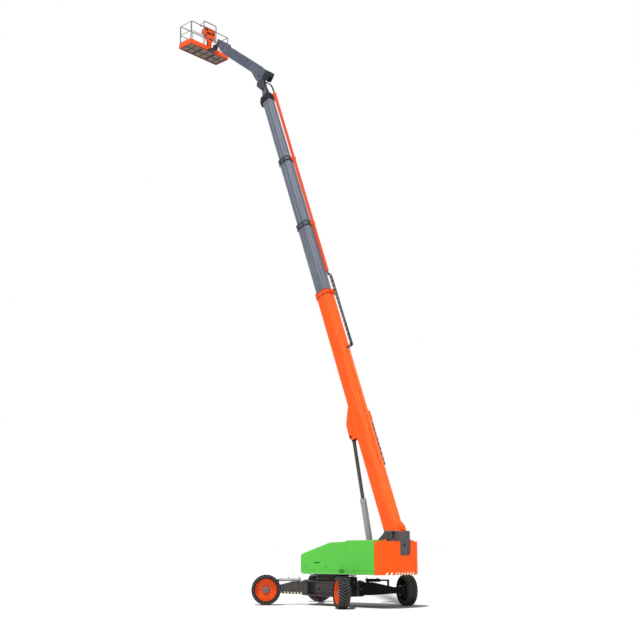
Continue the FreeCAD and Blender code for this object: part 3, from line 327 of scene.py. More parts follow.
class Shape:
    """Collects the faces of one piece, drawn in a local frame."""

    def __init__(self, at=None):
        self.at = at or Matrix.Identity(4)
        self.verts, self.faces, self.slots = [], [], []

    def add(self, verts, faces, slot=0):
        start = len(self.verts)
        self.verts += [self.at @ Vector(v) for v in verts]
        self.faces += [tuple(start + i for i in face) for face in faces]
        self.slots += [slot] * len(faces)
        return self

    def rings(self, rings, axis, faces, slot):
        """Outlines at levels along an axis."""
        put = {"x": lambda a, b, c: (c, a, b), "y": lambda a, b, c: (a, c, b), "z": lambda a, b, c: (a, b, c)}[axis]
        return self.add([put(p[0], p[1], level) for ring, level in rings for p in ring], faces, slot)

    def prism(self, outline, axis, low, high, slot=0, chamfer=0.0):
        """An outline taken along an axis from low to high; a chamfer eases both ends."""
        count = len(outline)
        rings = [(outline, low), (outline, high)]
        if chamfer > 0:
            middle = Vector((sum(p[0] for p in outline) / count, sum(p[1] for p in outline) / count))
            small = []
            for p in outline:
                d = Vector(p) - middle
                small.append(tuple(middle + d * max(0.0, 1 - chamfer * 1.3 / max(d.length, 1e-6))))
            rings = [(small, low), (outline, low + chamfer), (outline, high - chamfer), (small, high)]
        return self.rings(rings, axis, end_faces(len(rings), count) + ring_faces(len(rings), count), slot)

    def walls(self, outline, low, high, slot=0):
        """A prism on either side, low to high outward."""
        for side in SIDES:
            self.prism(outline, "y", *span(side, low, high), slot)
        return self

    def frame_ring(self, outer, inner, axis, low, high, slot=0):
        """A frame between two outlines, taken from low to high."""
        rings = [(outer, low), (outer, high), (inner, high), (inner, low)]
        return self.rings(rings, axis, ring_faces(4, len(outer), True), slot)

    def block(self, x0, y0, z0, x1, y1, z1, slot=0, chamfer=0.0):
        """A block with its upper and lower edges eased."""
        return self.prism(rect(x0, y0, x1, y1), "z", z0, z1, slot, chamfer)

    def turned(self, profile, origin, axis, sides=24, slot=0, closed=False):
        """A profile of (radius, along) points swept round an axis."""
        z = Vector(axis).normalized()
        x = z.orthogonal().normalized()
        y = z.cross(x)
        verts = [Vector(origin) + z * along + (x * a + y * b) * radius
            for radius, along in profile for a, b in circle(sides, 1)]
        count = len(profile)
        faces = ring_faces(count, sides, closed)
        for face, (radius, _) in zip(end_faces(count, sides), (profile[0], profile[-1])):
            if radius > 1e-6 and not closed:
                faces.append(face)
        return self.add(verts, faces, slot)

    def ring(self, profile, origin, axis, sides):
        """A closed profile swept round an axis."""
        return self.turned(profile, origin, axis, sides, 0, True)

    def caps(self, profile, x, y, z, sides=24):
        """A turned cap on either side."""
        for side in SIDES:
            self.turned(profile, (x, side * y, z), (0, side, 0), sides)
        return self

    def bolt(self, origin, axis, size=.018, slot=0):
        """A hexagon head on a washer."""
        return self.turned([(size * 1.35, 0), (size * 1.35, size * .2), (size, size * .2), (size, size * .85),
            (size * .8, size)], origin, axis, 6, slot)

    def bolts(self, spots, y, size):
        """Bolts at (x, z) spots on either side."""
        for side in SIDES:
            for x, z in spots:
                self.bolt((x, side * y, z), (0, side, 0), size)
        return self

    def tube(self, points, radius, sides=10, slot=0):
        """A round tube along points."""
        points = [Vector(p) for p in points]
        last = len(points) - 1
        verts = []
        side = (points[1] - points[0]).normalized().orthogonal().normalized()
        for i, p in enumerate(points):
            ahead = (points[min(i + 1, last)] - points[max(i - 1, 0)]).normalized()
            side = (side - ahead * side.dot(ahead)).normalized()
            up = ahead.cross(side)
            verts += [p + (side * a + up * b) * radius for a, b in circle(sides, 1)]
        return self.add(verts, end_faces(last + 1, sides) + ring_faces(last + 1, sides), slot)

    def make(self, name, body, finishes, smooth=None, slot=None, replaces=()):
        """The piece as an object on a body; edges under smooth degrees shade round."""
        keys = finishes.split()
        mesh = bpy.data.meshes.new(name)
        mesh.from_pydata([tuple(v) for v in self.verts], [], self.faces)
        for key in keys:
            mesh.materials.append(FINISH[key])
        mesh.polygons.foreach_set("material_index", self.slots)
        work = bmesh.new()
        work.from_mesh(mesh)
        bmesh.ops.recalc_face_normals(work, faces=work.faces)
        if smooth is not None:
            for face in work.faces:
                face.smooth = True
            for edge in work.edges:
                if len(edge.link_faces) == 2 and edge.calc_face_angle(3.2) > radians(smooth):
                    edge.smooth = False
        work.to_mesh(mesh)
        work.free()
        mesh.update()
        obj = put(name, mesh)
        if body:
            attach(obj, body)
            if replaces:
                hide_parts(*replaces)
        return obj


# ---------------- wheels, knuckles and axle arms

TYRE_HALF = .2225
LUG_PAIRS = 32
RAM_Z = .9537


def wheel_frame(name):
    """A wheel's centre, outward axis and a direction square to it."""
    outward = Vector(JOINTS["roll_" + name]["axis"]).normalized()
    return place("roll_" + name), outward, outward.orthogonal().normalized()


def tread_of(name):
    """The tyre: a carcass with two rows of slanting lugs."""
    hub, outward, _ = wheel_frame(name)
    at = axes_at(hub, outward.cross(Vector(UP)), UP)
    if (at.to_3x3() @ Vector((0, 1, 0))).dot(outward) < 0:
        at = at @ Matrix.Rotation(pi, 4, "Z")
    half = mm("426.2 -174,450 -196,474 -219.5,505 -214,538 -196,549 -150")
    carcass = half + [(.552, 0.0)] + [(radius, -along) for radius, along in reversed(half)]
    shape = Shape(at).ring(carcass, (0, 0, 0), (0, 1, 0), 64)
    for radius, along in mm("462 212.5,488 216.5"):
        for side in SIDES:
            shape.ring([(radius - .004, side * along), (radius, side * (along + .003)),
                (radius + .004, side * along), (radius, side * (along - .004))], (0, 0, 0), (0, 1, 0), 64)
    for side in SIDES:
        for k in range(LUG_PAIRS):
            verts = []
            for share, low, high, width in mm("0 546 576.8 36,480 545 576.8 40,790 536 566.8 44,"
                    "950 500 522 46,1000 468 479 47"):
                across = side * (.006 + share * (TYRE_HALF - .007))
                turn = 2 * pi * k / LUG_PAIRS - .26 * min(share, .93)
                for radius, half_wide in ((low, width / 2), (high, width * .38), (high, -width * .38),
                        (low, -width / 2)):
                    angle = turn + half_wide / radius
                    verts.append((radius * cos(angle), across, radius * sin(angle)))
            # The lug tops take a lighter grey rubber with dust spots: painted highlight where light falls on them.
            start, tops = len(shape.verts), ring_faces(5, 4)[1::4]
            shape.add(verts, [(0, 1, 2, 3), (16, 17, 18, 19)] + [f for f in ring_faces(5, 4) if f not in tops])
            shape.faces += [tuple(start + i for i in face) for face in tops]
            shape.slots += [1] * len(tops)
    shape.make("tread_" + name, "wheel_" + name, "tyre tread_rubber", 32, replaces=("tyre_" + name,))


def hub_of(name):
    """Hub cap, wheel nuts, valve, the rim's ribs, and a dark red-brown cover on the rim's back that is painted
    shade.
    """
    hub, outward, side = wheel_frame(name)
    body = "wheel_" + name

    def around(shape, count, offset, along, radius, axis, size):
        """Bolts round the axle."""
        for k in range(count):
            spin = Matrix.Rotation(2 * pi * (k + offset) / count, 3, outward)
            shape.bolt(hub + outward * along + (spin @ side) * radius, axis, size)
        return shape

    cap = Shape().turned(mm("128 58,130 98,122 114,98 118,96 128,60 134,56 146,30 150,0 150"), hub, outward, 32)
    around(cap, 8, 0, .115, .109, outward, .008).make("hub_cap_" + name, body, "hub_grey", 35)
    nuts = around(Shape(), 10, .5, .0135, .222, outward, .017)
    nuts.tube([hub + outward * .035 + side * .352, hub + outward * .075 + side * .34], .008, 8)
    nuts.make("wheel_nuts_" + name, body, "zinc_steel", 35)
    ribs = Shape()
    for radius, along, thick in mm("388 42.5 7,181 13.5 6"):
        ribs.ring([(radius - thick, along), (radius, along + .006), (radius + thick, along), (radius, along - .005)],
            hub, outward, 48)
    ribs.make("rim_ribs_" + name, body, "rim_orange", 40)
    # The rim's back and its bolts are covered in dark red-brown: painted shade cast by the body above.
    back = Shape().ring(mm("417.5 -177.2,408 -156,397.5 4,262 -18,256 -90,238 -108,150 -112,132 -105,"
        "130 -44,240 -30,399 6.5,410.5 -156"), hub, outward, 48)
    around(back, 12, 0, -.107, .206, -outward, .009).make("brake_drum_" + name, body, "drum_brown", 35)


def knuckle_trim(name):
    """The king pin's caps and the yoke's bolts."""
    king = place("steer_" + name)
    outward = wheel_frame(name)[1]
    trim = Shape()
    for low, up in ((.7353, 1), (.4197, -1)):
        foot = Vector((king.x, king.y, low))
        trim.turned(mm("62 0,62 12,50 20,18 22,18 34,0 34"), foot, (0, 0, up))
        for x, y in circle(4, 1, .5):
            trim.bolt(foot + Vector((x, y, 0)) * .073, (0, 0, up), .008)
    along = outward.cross(Vector(UP))
    for across in (-.07, .07):
        for height in (.475, .68):
            spot = Vector((king.x, king.y, height)) + outward * .1105 + along * across
            trim.bolt(spot, -outward, .01)
    trim.make("king_caps_" + name, "knuckle_body_" + name, "zinc_steel", 35)


def arm_stripes(at, length, name):
    """Warning marks along the arm's lower edges."""
    marks = Shape(at)
    low_edge = [(0.0, .4003), (.42, .4003), (length - .26, .455), (length, .455)]

    def low_at(x):
        """Height of the arm's lower edge."""
        (x0, z0), (x1, z1) = next(pair for pair in zip(low_edge, low_edge[1:]) if x <= pair[1][0])
        return z0 + (z1 - z0) * (x - x0) / (x1 - x0)

    pitch, lean = .062, .026
    plan = [(.165, .115), (length - .9, .115), (length - .62, .068), (length - .12, .068)]
    for side in SIDES:
        for (xa, ya), (xb, yb) in zip(plan, plan[1:]):
            run = hypot(xb - xa, yb - ya)
            turn = atan2(side * (yb - ya), xb - xa)
            marks.at = at @ Matrix.Translation((xa, side * ya, 0)) @ Matrix.Rotation(turn, 4, "Z")
            s, n = .004, 0
            while s + .064 < run:
                low = low_at(xa + s) + .01
                top = s + .088 if s + .088 < run else s + pitch
                marks.prism([(s, low), (s + pitch, low + .002), (top, low + .07), (s + lean, low + .068)],
                    "y", *span(side, -.0008, .0022), n % 2)
                s += pitch
                n += 1
    marks.make("arm_stripes_" + name, "arm_" + name, "stripe_cream stripe_dark")


def arm_trim(name):
    """The ram's sleeve, ports and hoses, and the arm's stripes, edges and root caps."""
    root, king = place("axle_swing_" + name), place("steer_" + name)
    at = axes_at((root.x, root.y, 0), (king.x - root.x, king.y - root.y, 0), UP)
    body = "arm_" + name
    front = name.startswith("front")
    ram = Shape(at)
    if front:
        ram.turned(mm("50 0,67.2 6,67.2 800,60 808,60 826,46 832,46 872,0 872"), (.216, 0, RAM_Z), X, 28)
        ram.make("ram_sleeve_" + name, body, "sleeve_grey", 35)
        arm_stripes(at, (king - root).to_2d().length, name)
    else:
        ram.turned(mm("66 0,67.2 8,67.2 30,63 34"), (.236, 0, RAM_Z), X, 28)
        ram.turned(mm("63 0,67.2 6,67.2 50,48 56,40 64"), (.735, 0, RAM_Z), X, 28)
        ram.make("ram_glands_" + name, body, "dark_frame", 35)
    ports, hoses = Shape(at), Shape(at)
    for x, across in ((.29, .012), (.7, -.012)):
        ports.turned(mm("16 0,16 26,11 30,11 42,0 42"), (x, 0, RAM_Z + .06), UP, 12)
        bends = ((0, 0, .092), (.012, 1.5, .104), (.045, 4.0, .08), (.07, 6.4, .01), (.085, 7.0, -.045))
        path = [(x - back, across * share, RAM_Z + rise) for back, share, rise in bends]
        hoses.tube(bend(path + [(x - .095, across * 7.0, .8785)]), .0095, 8)
    ports.make("ram_ports_" + name, body, "zinc_steel", 35, "cylinder")
    hoses.make("ram_hoses_" + name, body, "hose_rubber", 60)
    caps = Shape(at).turned(mm("98 0,98 8,88 14,0 14"), (0, 0, .9352), UP)
    for x, y in circle(6, .074):
        caps.bolt((x, y, .9485), UP, .009)
    caps.make("root_caps_" + name, "chassis", "dark_frame", 35)
    skin = Shape(at).walls(mm("170 845,500 845,660 808,660 832,500 870.2,170 870.2"), .1148, .1215)
    skin.bolts([(.3, .66)], .1148, .02).bolts([(.3, .56)], .1148, .014)
    # On a rear arm the edges take the same near-black painted shade.
    skin.make("arm_edges_" + name, body, "dark_frame" if front else "arm_black", 35)


for corner in CORNERS:
    tread_of(corner)
    hub_of(corner)
    knuckle_trim(corner)
    arm_trim(corner)


# ---------------- chassis and turntable

GROUND = Matrix.Translation(AXIS)
PORT = mm("20 0,20 32,13 38,13 60,0 60")


def chassis_trim():
    """Slew ring teeth, bolts, oval holes of painted shade in rims of painted highlight, valve blocks, hoses and
    tie-down rims.
    """
    ring = Shape()
    for x, y in circle(72, 1):
        ring.at = GROUND @ Matrix(((x, -y, 0, 0), (y, x, 0, 0), (0, 0, 1, 0), (0, 0, 0, 1)))
        ring.prism(mm("612 -17,640 -8.5,640 8.5,612 17"), "z", 1.045, 1.135)
    ring.at = GROUND
    ring.ring(mm("660 0,672 6,672 34,660 40,610 40,610 0"), (0, 0, .962), UP, 64)
    ring.make("slew_ring_teeth", "chassis", "dark_frame", 30)
    bolts = Shape(GROUND).bolts([(x, .905) for x in (-.46, -.16, .16, .46)], .4006, .014)
    for x, y in circle(36, .642, .5):
        bolts.bolt((x, y, 1.001), UP, .011)
    bolts.make("chassis_bolts", "chassis", "zinc_steel", 35)
    plates = Shape(GROUND).walls(mm("-525 460,-410 348,410 348,525 460,525 488,400 376,-400 376,-525 488"),
        .3995, .41)
    # Each oval hole is a black sheet, painted shade, framed by a pale grey rim, painted highlight.
    for x0, x1 in ((.235, .465), (-.465, -.235)):
        oval = rounded(x0, .545, x1, .665, .058, 6)
        inner = rounded(x0 + .016, .561, x1 - .016, .649, .043, 6)
        plates.walls(inner, .3995, .402, 2)
        for side in SIDES:
            plates.frame_ring(oval, inner, "y", *span(side, .3995, .41), 1)
    plates.make("chassis_side_trim", "chassis", "grey_frame worn_edge_grey black_plastic", 35)
    valves, hoses, shackle = Shape(GROUND), Shape(GROUND), Shape(GROUND)
    for front in SIDES:
        x0, x1 = span(front, .9, 1.15)
        valves.block(x0, -.135, .921, x1, .135, 1.085, 0, .012)
        for side in SIDES:
            for k in range(3):
                valves.turned(PORT, (x0 + .05 + .075 * k, side * .055, 1.083), UP, 12, 1)
                x, y = .95 + .075 * k, .02 * k
                bends = ((x, .055, 1.135), (x - .02, .1 + y, 1.15), (x - .14, .22 + y, 1.12),
                    (.74 + .03 * k, .33, 1.02), (.66 + .03 * k, .36, .945), (.62 + .03 * k, .36, .922))
                hoses.tube(bend([(front * a, side * b, c) for a, b, c in bends]), .011, 8)
        shackle.ring(mm("52 -26.2,50 -30,35.5 -30,35.5 30,50 30,52 26.2"), (front * 1.37, 0, .64), UP, 28)
    valves.make("axle_valve_blocks", "chassis", "black_plastic zinc_steel", 35)
    hoses.make("axle_hoses", "chassis", "hose_rubber", 60)
    shackle.make("tie_down_rims", "chassis", "zinc_steel", 35)


def turntable_trim():
    """Riser pins and edges, lift foot caps, deck seals and the engine's ribs."""
    pins = Shape(GROUND).bolts([(x, 2.445) for x in (-3.52, -3.42, -3.05, -2.98)], .3225, .012)
    for x, z, size in mm("-3317 2579 30,-3100 2690 22,-3100 2480 22"):
        pins.caps([(size * 1.5, 0), (size * 1.5, .006), (size, .01), (size, .02), (0.0, .022)], x, .3225, z, 20)
    pins.turned(mm("52 0,52 6,36 10,36 18,0 18"), (-3.5995, 0, 2.282), (-1, 0, 0))
    for y in (-.225, .225):
        for z in (2.05, 2.7):
            pins.bolt((-3.5995, y, z), (-1, 0, 0), .013)
    pins.make("riser_pins", "turntable", "dark_steel", 35)
    edges = Shape(GROUND).walls(mm("-3596 2420,-3596 2448,-2960 2448,-2960 2420"), .3225, .329)
    edges.walls(mm("-3596 2772,-3596 2798,-2935 2798,-2930 2772"), .3225, .329)
    edges.make("riser_edges", "turntable", "worn_edge_grey")
    foot = Shape(GROUND).caps(mm("85 0,85 10,60 16,22 16,22 26,0 26"), -2.085, .1745, 1.45)
    foot.make("lift_foot_caps", "turntable", "dark_steel", 35, "grey_frame")
    seal = Shape(GROUND)
    for side in SIDES:
        for x0, x1, near, far in mm("-3060 460 1150 1169,470 490 460 1140"):
            y0, y1 = span(side, near, far)
            seal.block(x0, y0, 1.3205, x1, y1, 1.338, 0, .004)
    seal.make("deck_seals", "turntable", "black_plastic")
    engine = Shape(GROUND)
    for k in range(9):
        x = -2.9 + .17 * k
        engine.block(x, -1.072, 1.52, x + .11, -1.056, 1.98, 0, .006)
    engine.turned(mm("70 0,110 20,110 420,70 440"), (-2.45, -.8, 2.118), X, 20)
    for k in range(4):
        engine.turned(mm("45 0,45 50,30 60,0 60"), (-1.85 + .12 * k, -.72, 2.118), UP, 16, 1)
    engine.make("engine_ribs", "turntable", "engine black_plastic", 35)


def hood_trim(side_name, side):
    """Handle, latches, seams, vents and lip of one hood; its recesses are dark green painted shade and its lips
    light green painted highlight.
    """
    wall = 1.2
    latches = mm("-711 1467,-1537 1523,330 1467")
    parts = {}

    def on(part, outline, low, high):
        parts.setdefault(part, Shape(GROUND)).prism(outline, "y", *span(side, wall + low, wall + high))

    # A dark green sheet stands for the handle's recess: painted shade.
    on("recess_shades", rounded(-.425, 1.611, -.115, 1.652, .018), -.001, .0016)
    on("recess_shades", rounded(-1.662, 1.268, -1.414, 1.389, .014), -.001, .0016)
    # Each latch is a light green lip (painted highlight) in a dark green recess (painted shade).
    for x, z in latches:
        on("recess_shades", rounded(x - .042, z - .03, x + .042, z + .03, .01), -.001, .0012)
        on("highlight_lips", rounded(x - .026, z - .014, x + .026, z + .016, .008), 0, .01)
    on("frames", rounded(-.4, 1.645, -.14, 1.6545, .003), 0, .012)
    for x0, z0, x1, z1, inset in mm("-437 1600 -103 1663 10,-1676 1255 -1400 1402 12"):
        inner = rounded(x0 + inset, z0 + inset, x1 - inset, z1 - inset, .015)
        parts["frames"].frame_ring(rounded(x0, z0, x1, z1, .024), inner, "y", *span(side, wall - .001, wall + .006))
    for k in range(4):
        z = 1.287 + .026 * k
        on("frames", rect(-1.655, z, -1.421, z + .011), 0, .005)
    # Light green strips along the hood's lower and upper edges: painted highlight.
    on("highlight_lips", mm("-3110 1216,515 1216,535 1236,-3110 1236"), -.001, .0045)
    on("highlight_lips", mm("-3110 2436,-1800 2436,-1745 2398,-1000 2366,390 1978,560 1914,560 1906,385 1968,"
        "-1000 2356,-1750 2388,-1805 2426,-3110 2426"), -.001, .0022)
    on("seams", rect(-3.11, 1.352, .575, 1.3585), -.001, .0012)
    on("seams", mm("-1752 1360,-1746 1360,-1746 2398,-1752 2400"), -.001, .0011)
    vents = parts["vents"] = Shape(GROUND)
    y0, y1 = span(side, .62, 1.02)
    for k in range(9):
        z = 1.5 + .036 * k
        vents.block(.5815, y0, z, .587, y1, z + .016)
    for part, key in zip(("recess_shades", "frames", "highlight_lips", "seams", "vents"),
            ("recess_dark_green", "hood", "lip_green", "seam_green", "seam_green")):
        parts[part].make(f"hood_{part}_{side_name}", side_name + "_hood", key)
    screws = Shape(GROUND)
    for x, z in mm("545 1270,545 1870,-3090 1270,-3090 2380,-1000 1270,-2200 1270"):
        screws.turned(mm("14 0,13 4,7 6,0 6"), (x, side * wall, z), (0, side, 0), 10)
    screws.make("hood_screws_" + side_name, side_name + "_hood", "zinc_steel", 35)


def counterweight_trim():
    """Warning marks, lifting lugs, seams and plugs of the cast tail."""
    plan = mm("-3270 1200,-3645 650,-3645 -650,-3270 -1200")
    wide, lean = .084, .05
    marks = Shape()
    for a, b, start, end in ((plan[0], plan[1], .3, .66), (plan[1], plan[2], .015, 1.285),
            (plan[3], plan[2], .3, .66)):
        d = Vector((b[0] - a[0], b[1] - a[1], 0))
        run = d.length
        d.normalize()
        out = Vector((d.y, -d.x, 0))
        if out.x > 0:
            out = -out
        marks.at = GROUND @ Matrix(((d.x, out.x, 0, a[0]), (d.y, out.y, 0, a[1]), (0, 0, 1, 0), (0, 0, 0, 1)))
        s, n = start, 0
        while s + (.134 if run < 1 else .094) < min(end, run):
            marks.prism([(s, 1.206), (s + wide, 1.206), (s + wide + lean, 1.292), (s + lean, 1.292)], "y",
                -.001, (.0008, .0006)[n % 2], n % 2)
            s += wide
            n += 1
    marks.make("tail_stripes", "turntable", "stripe_cream stripe_orange")
    lugs, seams, plugs = Shape(GROUND), Shape(GROUND), Shape(GROUND)
    for side in SIDES:
        y = side * .75
        turns = [radians(t) for t in range(180, -1, -20)]
        arch = [(-3.26 + .06 * cos(t), 2.446 + .048 * sin(t)) for t in turns]
        lugs.prism([(-3.335, 2.408)] + arch + [(-3.185, 2.408)], "y", y - .016, y + .016)
        lugs.block(-3.35, y - .05, 2.4085, -3.17, y + .05, 2.4185, 0, .003)
        y0, y1 = span(side, .33, .648)
        seams.block(-3.6456, y0, 2.392, -3.644, y1, 2.397)
        y0, y1 = span(side, 1.1995, 1.201)
        seams.block(-3.128, y0, 1.21, -3.1225, y1, 2.4)
        for z in (1.62, 2.18):
            plugs.turned(mm("30 0,28 3,15 4,0 4"), (-3.6415, side * .52, z), (-1, 0, 0), 20)
    lugs.make("lifting_lugs", "turntable", "counterweight")
    seams.make("tail_seams", "turntable", "seam_orange")
    plugs.make("tail_plugs", "turntable", "seam_orange", 35)


chassis_trim()
turntable_trim()
hood_trim("left", 1)
hood_trim("right", -1)
counterweight_trim()


# ---------------- boom

BOOM = axes_at(place("boom_luff"), JOINTS["telescope"]["axis"], UP)
TIPS = (10.56, 14.007, 17.497, 21.154)
SECTION_BODY = ("boom_base", "fly_1", "fly_2", "fly_3")
MIDDLE, FOLD, STEP = -.195, .09, .022
TRAY_LINE = .127


def half_sizes(level, grow=0.0):
    """Half a section's width and height."""
    return .265 - STEP * level + grow, .322 - STEP * level + grow


def section(level, grow=0.0):
    """The eight corners of a section's outline."""
    wide, high = half_sizes(level, grow)
    return octagon(wide, high, wide - FOLD, high - FOLD, MIDDLE)


def collar_trim(level):
    """Bands, wear pads and bolts round a tip."""
    tip, body = TIPS[level], SECTION_BODY[level]
    last = level == 3
    bands, pads, bolts = Shape(BOOM), Shape(BOOM), Shape(BOOM)
    if last:
        for grow, low, high in mm("38 -300 -235,26 -235 -55,38 -55 12"):
            bands.frame_ring(section(3, grow), section(3, .0005), "x", tip + low, tip + high)
    else:
        grow = .031 if level else .0265
        bands.frame_ring(section(level, grow), section(level + 1, .009), "x", tip - .026, tip + .0265)
        bands.frame_ring(section(level, grow), section(level, .0005), "x", tip - .208, tip - .164)
    wide, high = half_sizes(level)
    for side in SIDES:
        y0, y1 = span(side, wide + .02, wide + .046)
        for above in (MIDDLE - high + .17, MIDDLE + high - .17):
            pads.block(tip - .15, y0, above - .055, tip - .04, y1, above + .055, 0, .006)
            for along in (tip - .125, tip - .065):
                bolts.bolt((along, side * (wide + .045), above), (0, side, 0), .01)
        y = side * (wide - .17)
        for up in (-1, 1) if side > 0 else (-1,):
            z0, z1 = sorted((MIDDLE + up * (high + .02), MIDDLE + up * (high + .048)))
            pads.block(tip - .15, y - .05, z0, tip - .04, y + .05, z1, 0, .006)
            bolts.bolt((tip - .095, y, MIDDLE + up * (high + .047)), (0, 0, up), .012)
    low = MIDDLE - high - .022
    drop, back = (.05, .15) if last else (0.0, 0.0)
    pads.prism([(tip - .2 - back, low + .02), (tip - .19 - back, low - .05 - drop), (tip - .1, low - .062 - drop),
        (tip + .01, low - .03 - drop), (tip + .015, low + .02)], "y", -.06 - drop, .06 + drop)
    bolts.caps(mm("22 0,22 6,14 12,0 12"), tip - .11, .0598, low - .022, 16)
    slot = "boom" if level else "boom_orange"
    bands.make(f"collar_bands_{level}", body, "collar_black" if level else "collar_burnt_orange", slot=slot)
    pads.make(f"collar_pads_{level}", body, "wear_pad_black" if level else "boom_orange", slot=slot)
    bolts.make(f"collar_bolts_{level}", body, "zinc_steel" if level else "collar_burnt_orange", 35, "grey_frame")


def carrier_trim():
    """The hose carrier's clamps, ends and guides."""
    end = 21.164
    bore = rect(-.1655, .1565, -.0545, .2475)
    clamps = Shape(BOOM)
    for along in (end - .1, end - .42):
        clamps.frame_ring(rect(-.176, .118, -.044, .254), bore, "x", along - .03, along + .03)
    for along in (20.1, 19.3, 18.5, 17.6, 16.6, 15.6, 14.6, 13.6, 12.6, 11.9):
        clamps.frame_ring(rect(-.1675, .1545, -.0525, .2495), bore, "x", along - .012, along + .012)
    clamps.make("carrier_clamps", "fly_3", "boom_orange")
    outer = rect(-.16, .162, -.06, .242)
    gland = Shape(BOOM).frame_ring(outer, rect(-.148, .174, -.072, .23), "x", end - .02, end + .001)
    gland.prism(outer, "x", 11.45, 11.462).make("carrier_glands", "fly_3", "black_plastic")
    for level in range(3):
        tip = TIPS[level]
        top = TRAY_LINE - STEP * level + .018
        guide = Shape(BOOM).block(tip - .178, -.182, .2545, tip - .042, -.039, .263)
        for y0, y1 in mm("-182 -174,-46 -39"):
            guide.prism([(tip - .205, top), (tip - .015, top), (tip - .03, .262), (tip - .19, .262)], "y", y0, y1)
        for y, side in ((-.182, -1), (-.039, 1)):
            for along in (tip - .165, tip - .055):
                guide.bolt((along, y, top + .055), (0, side, 0), .01)
        guide.make(f"carrier_guide_{level}", SECTION_BODY[level], "boom_orange")


def fold_lines(level):
    """Light lines along a fly section's folds and sides: painted highlights."""
    start, end = TIPS[level - 1] + .5 - 3.4, TIPS[level] - .212
    wide, high = half_sizes(level)
    upper, lower = TRAY_LINE - STEP * level - FOLD, MIDDLE - high + FOLD
    rows = [(wide - .0015, upper - .0006, .007), (wide - FOLD - .0006, upper + FOLD - .0015, .006),
        (wide - .0015, lower + .0006, .007)] + [(wide - .0015, -.2, .0065)] * (level > 1)
    seams = Shape(BOOM)
    for side in SIDES:
        for y, z, radius in rows:
            seams.tube([(start, side * y, z), (end, side * y, z)], radius, 6)
    seams.make(f"fold_edges_{level}", SECTION_BODY[level], "slate_edge", 60)


def base_trim():
    """The base's light fold lines (painted highlights), stiffeners, brackets and pin caps."""
    cap = Shape(BOOM).caps(mm("75 0,75 10,52 18,18 18,18 26,0 26"), 0, .3366, 0, 28)
    cap.make("pivot_caps", "boom_base", "dark_steel", 35)
    plate = Shape(BOOM).frame_ring(section(0, .01), section(0, .0005), "x", -.198, -.15)
    plate.prism(mm("30 120,50 185,100 205,220 200,400 120"), "y", -.235, .045)
    plate.walls(mm("4000 -425,4120 -300,5300 -300,5520 -425"), .2645, .271)
    plate.frame_ring(section(0, .006), section(0, .0005), "x", 9.98, 10.02)
    plate.make("base_plates", "boom_base", "boom_orange")
    folds = Shape(BOOM)
    for side in SIDES:
        for y, z in mm("263.5 36.4,174.4 125.5,263.5 -426.4"):
            folds.tube([(.4, side * y, z), (10.34, side * y, z)], .0045, 6)
    folds.make("base_fold_edges", "boom_base", "orange_edge", 60)
    caps = Shape(BOOM).caps(mm("52 0,52 10,40 18,16 18,16 26,0 26"), 4.262, .1748, -.812, 28)
    caps.bolts([(4.46, -.8), (4.62, -.8)], .1445, .014).make("lift_eye_caps", "boom_base", "dark_steel", 35)
    feet = Shape(BOOM)
    for x in (2.75, 3.75, 4.75, 5.75, 6.75, 7.6):
        feet.walls([(x - .035, .126), (x + .035, .126), (x + .02, .2), (x - .02, .2)], .0445, .052)
    feet.make("tray_brackets", "boom_base", "boom_orange")


def chain_links():
    """Plates and rungs of the link chain, and the strip beside the boom."""
    path = bend(mm("7250 0 169,7600 0 169.5,7752 0 176,7806 0 225,7815 0 290,7806 0 345,7850 0 396,"
        "7950 0 402,8600 0 401.5,9400 0 400.5,10200 0 400.3,11000 0 399.5,11100 0 380,"
        "11200 0 325,11335 0 225"), 14)
    lengths = [0.0]
    for a, b in zip(path, path[1:]):
        lengths.append(lengths[-1] + (b - a).length)

    def at(s):
        """The point this far along the chain."""
        i = next(i for i, run in enumerate(lengths) if run >= s)
        return path[i - 1].lerp(path[i], (s - lengths[i - 1]) / (lengths[i] - lengths[i - 1]))

    pitch, high = .105, .0385
    half = pitch * .47
    outline = octagon(half, high, half * .8, high * .7)
    hole = [(x * .4, z * .42) for x, z in outline]
    links, rungs = Shape(), Shape()
    for k in range(4, int(lengths[-1] / pitch)):
        a, b = at(k * pitch), at((k + 1) * pitch)
        angle = atan2(b.z - a.z, b.x - a.x)
        links.at = rungs.at = BOOM @ Matrix.Translation((a + b) / 2) @ Matrix.Rotation(-angle, 4, "Y")
        wall = .0382 if k % 2 else .0402
        for side in SIDES:
            links.frame_ring(outline, hole, "y", *span(side, wall, wall + .0048), k % 2)
        rungs.block(-.012, -.04, high - .006, .012, .04, high + .003)
        rungs.block(-.012, -.04, -high - .003, .012, .04, -high + .006)
    links.make("chain_side_plates", "boom_base", "link_plate link_plate_dark")
    rungs.make("chain_rungs", "boom_base", "link_plate")
    strip = Shape(BOOM)
    for k in range(18):
        along = 2.74 + .104 * k
        strip.block(along, -.308, .04, along + .088, -.264, .098, k % 2, .005)
        strip.block(along + .086, -.3, .05, along + .106, -.264, .088)
    strip.make("side_link_strip", "boom_base", "link_plate_dark link_plate")
    cover = Shape(BOOM).prism(mm("4600 -312,4980 -312,5050 -264,4600 -264"), "z", .03, .108)
    cover.make("side_strip_cover", "boom_base", "boom_orange")


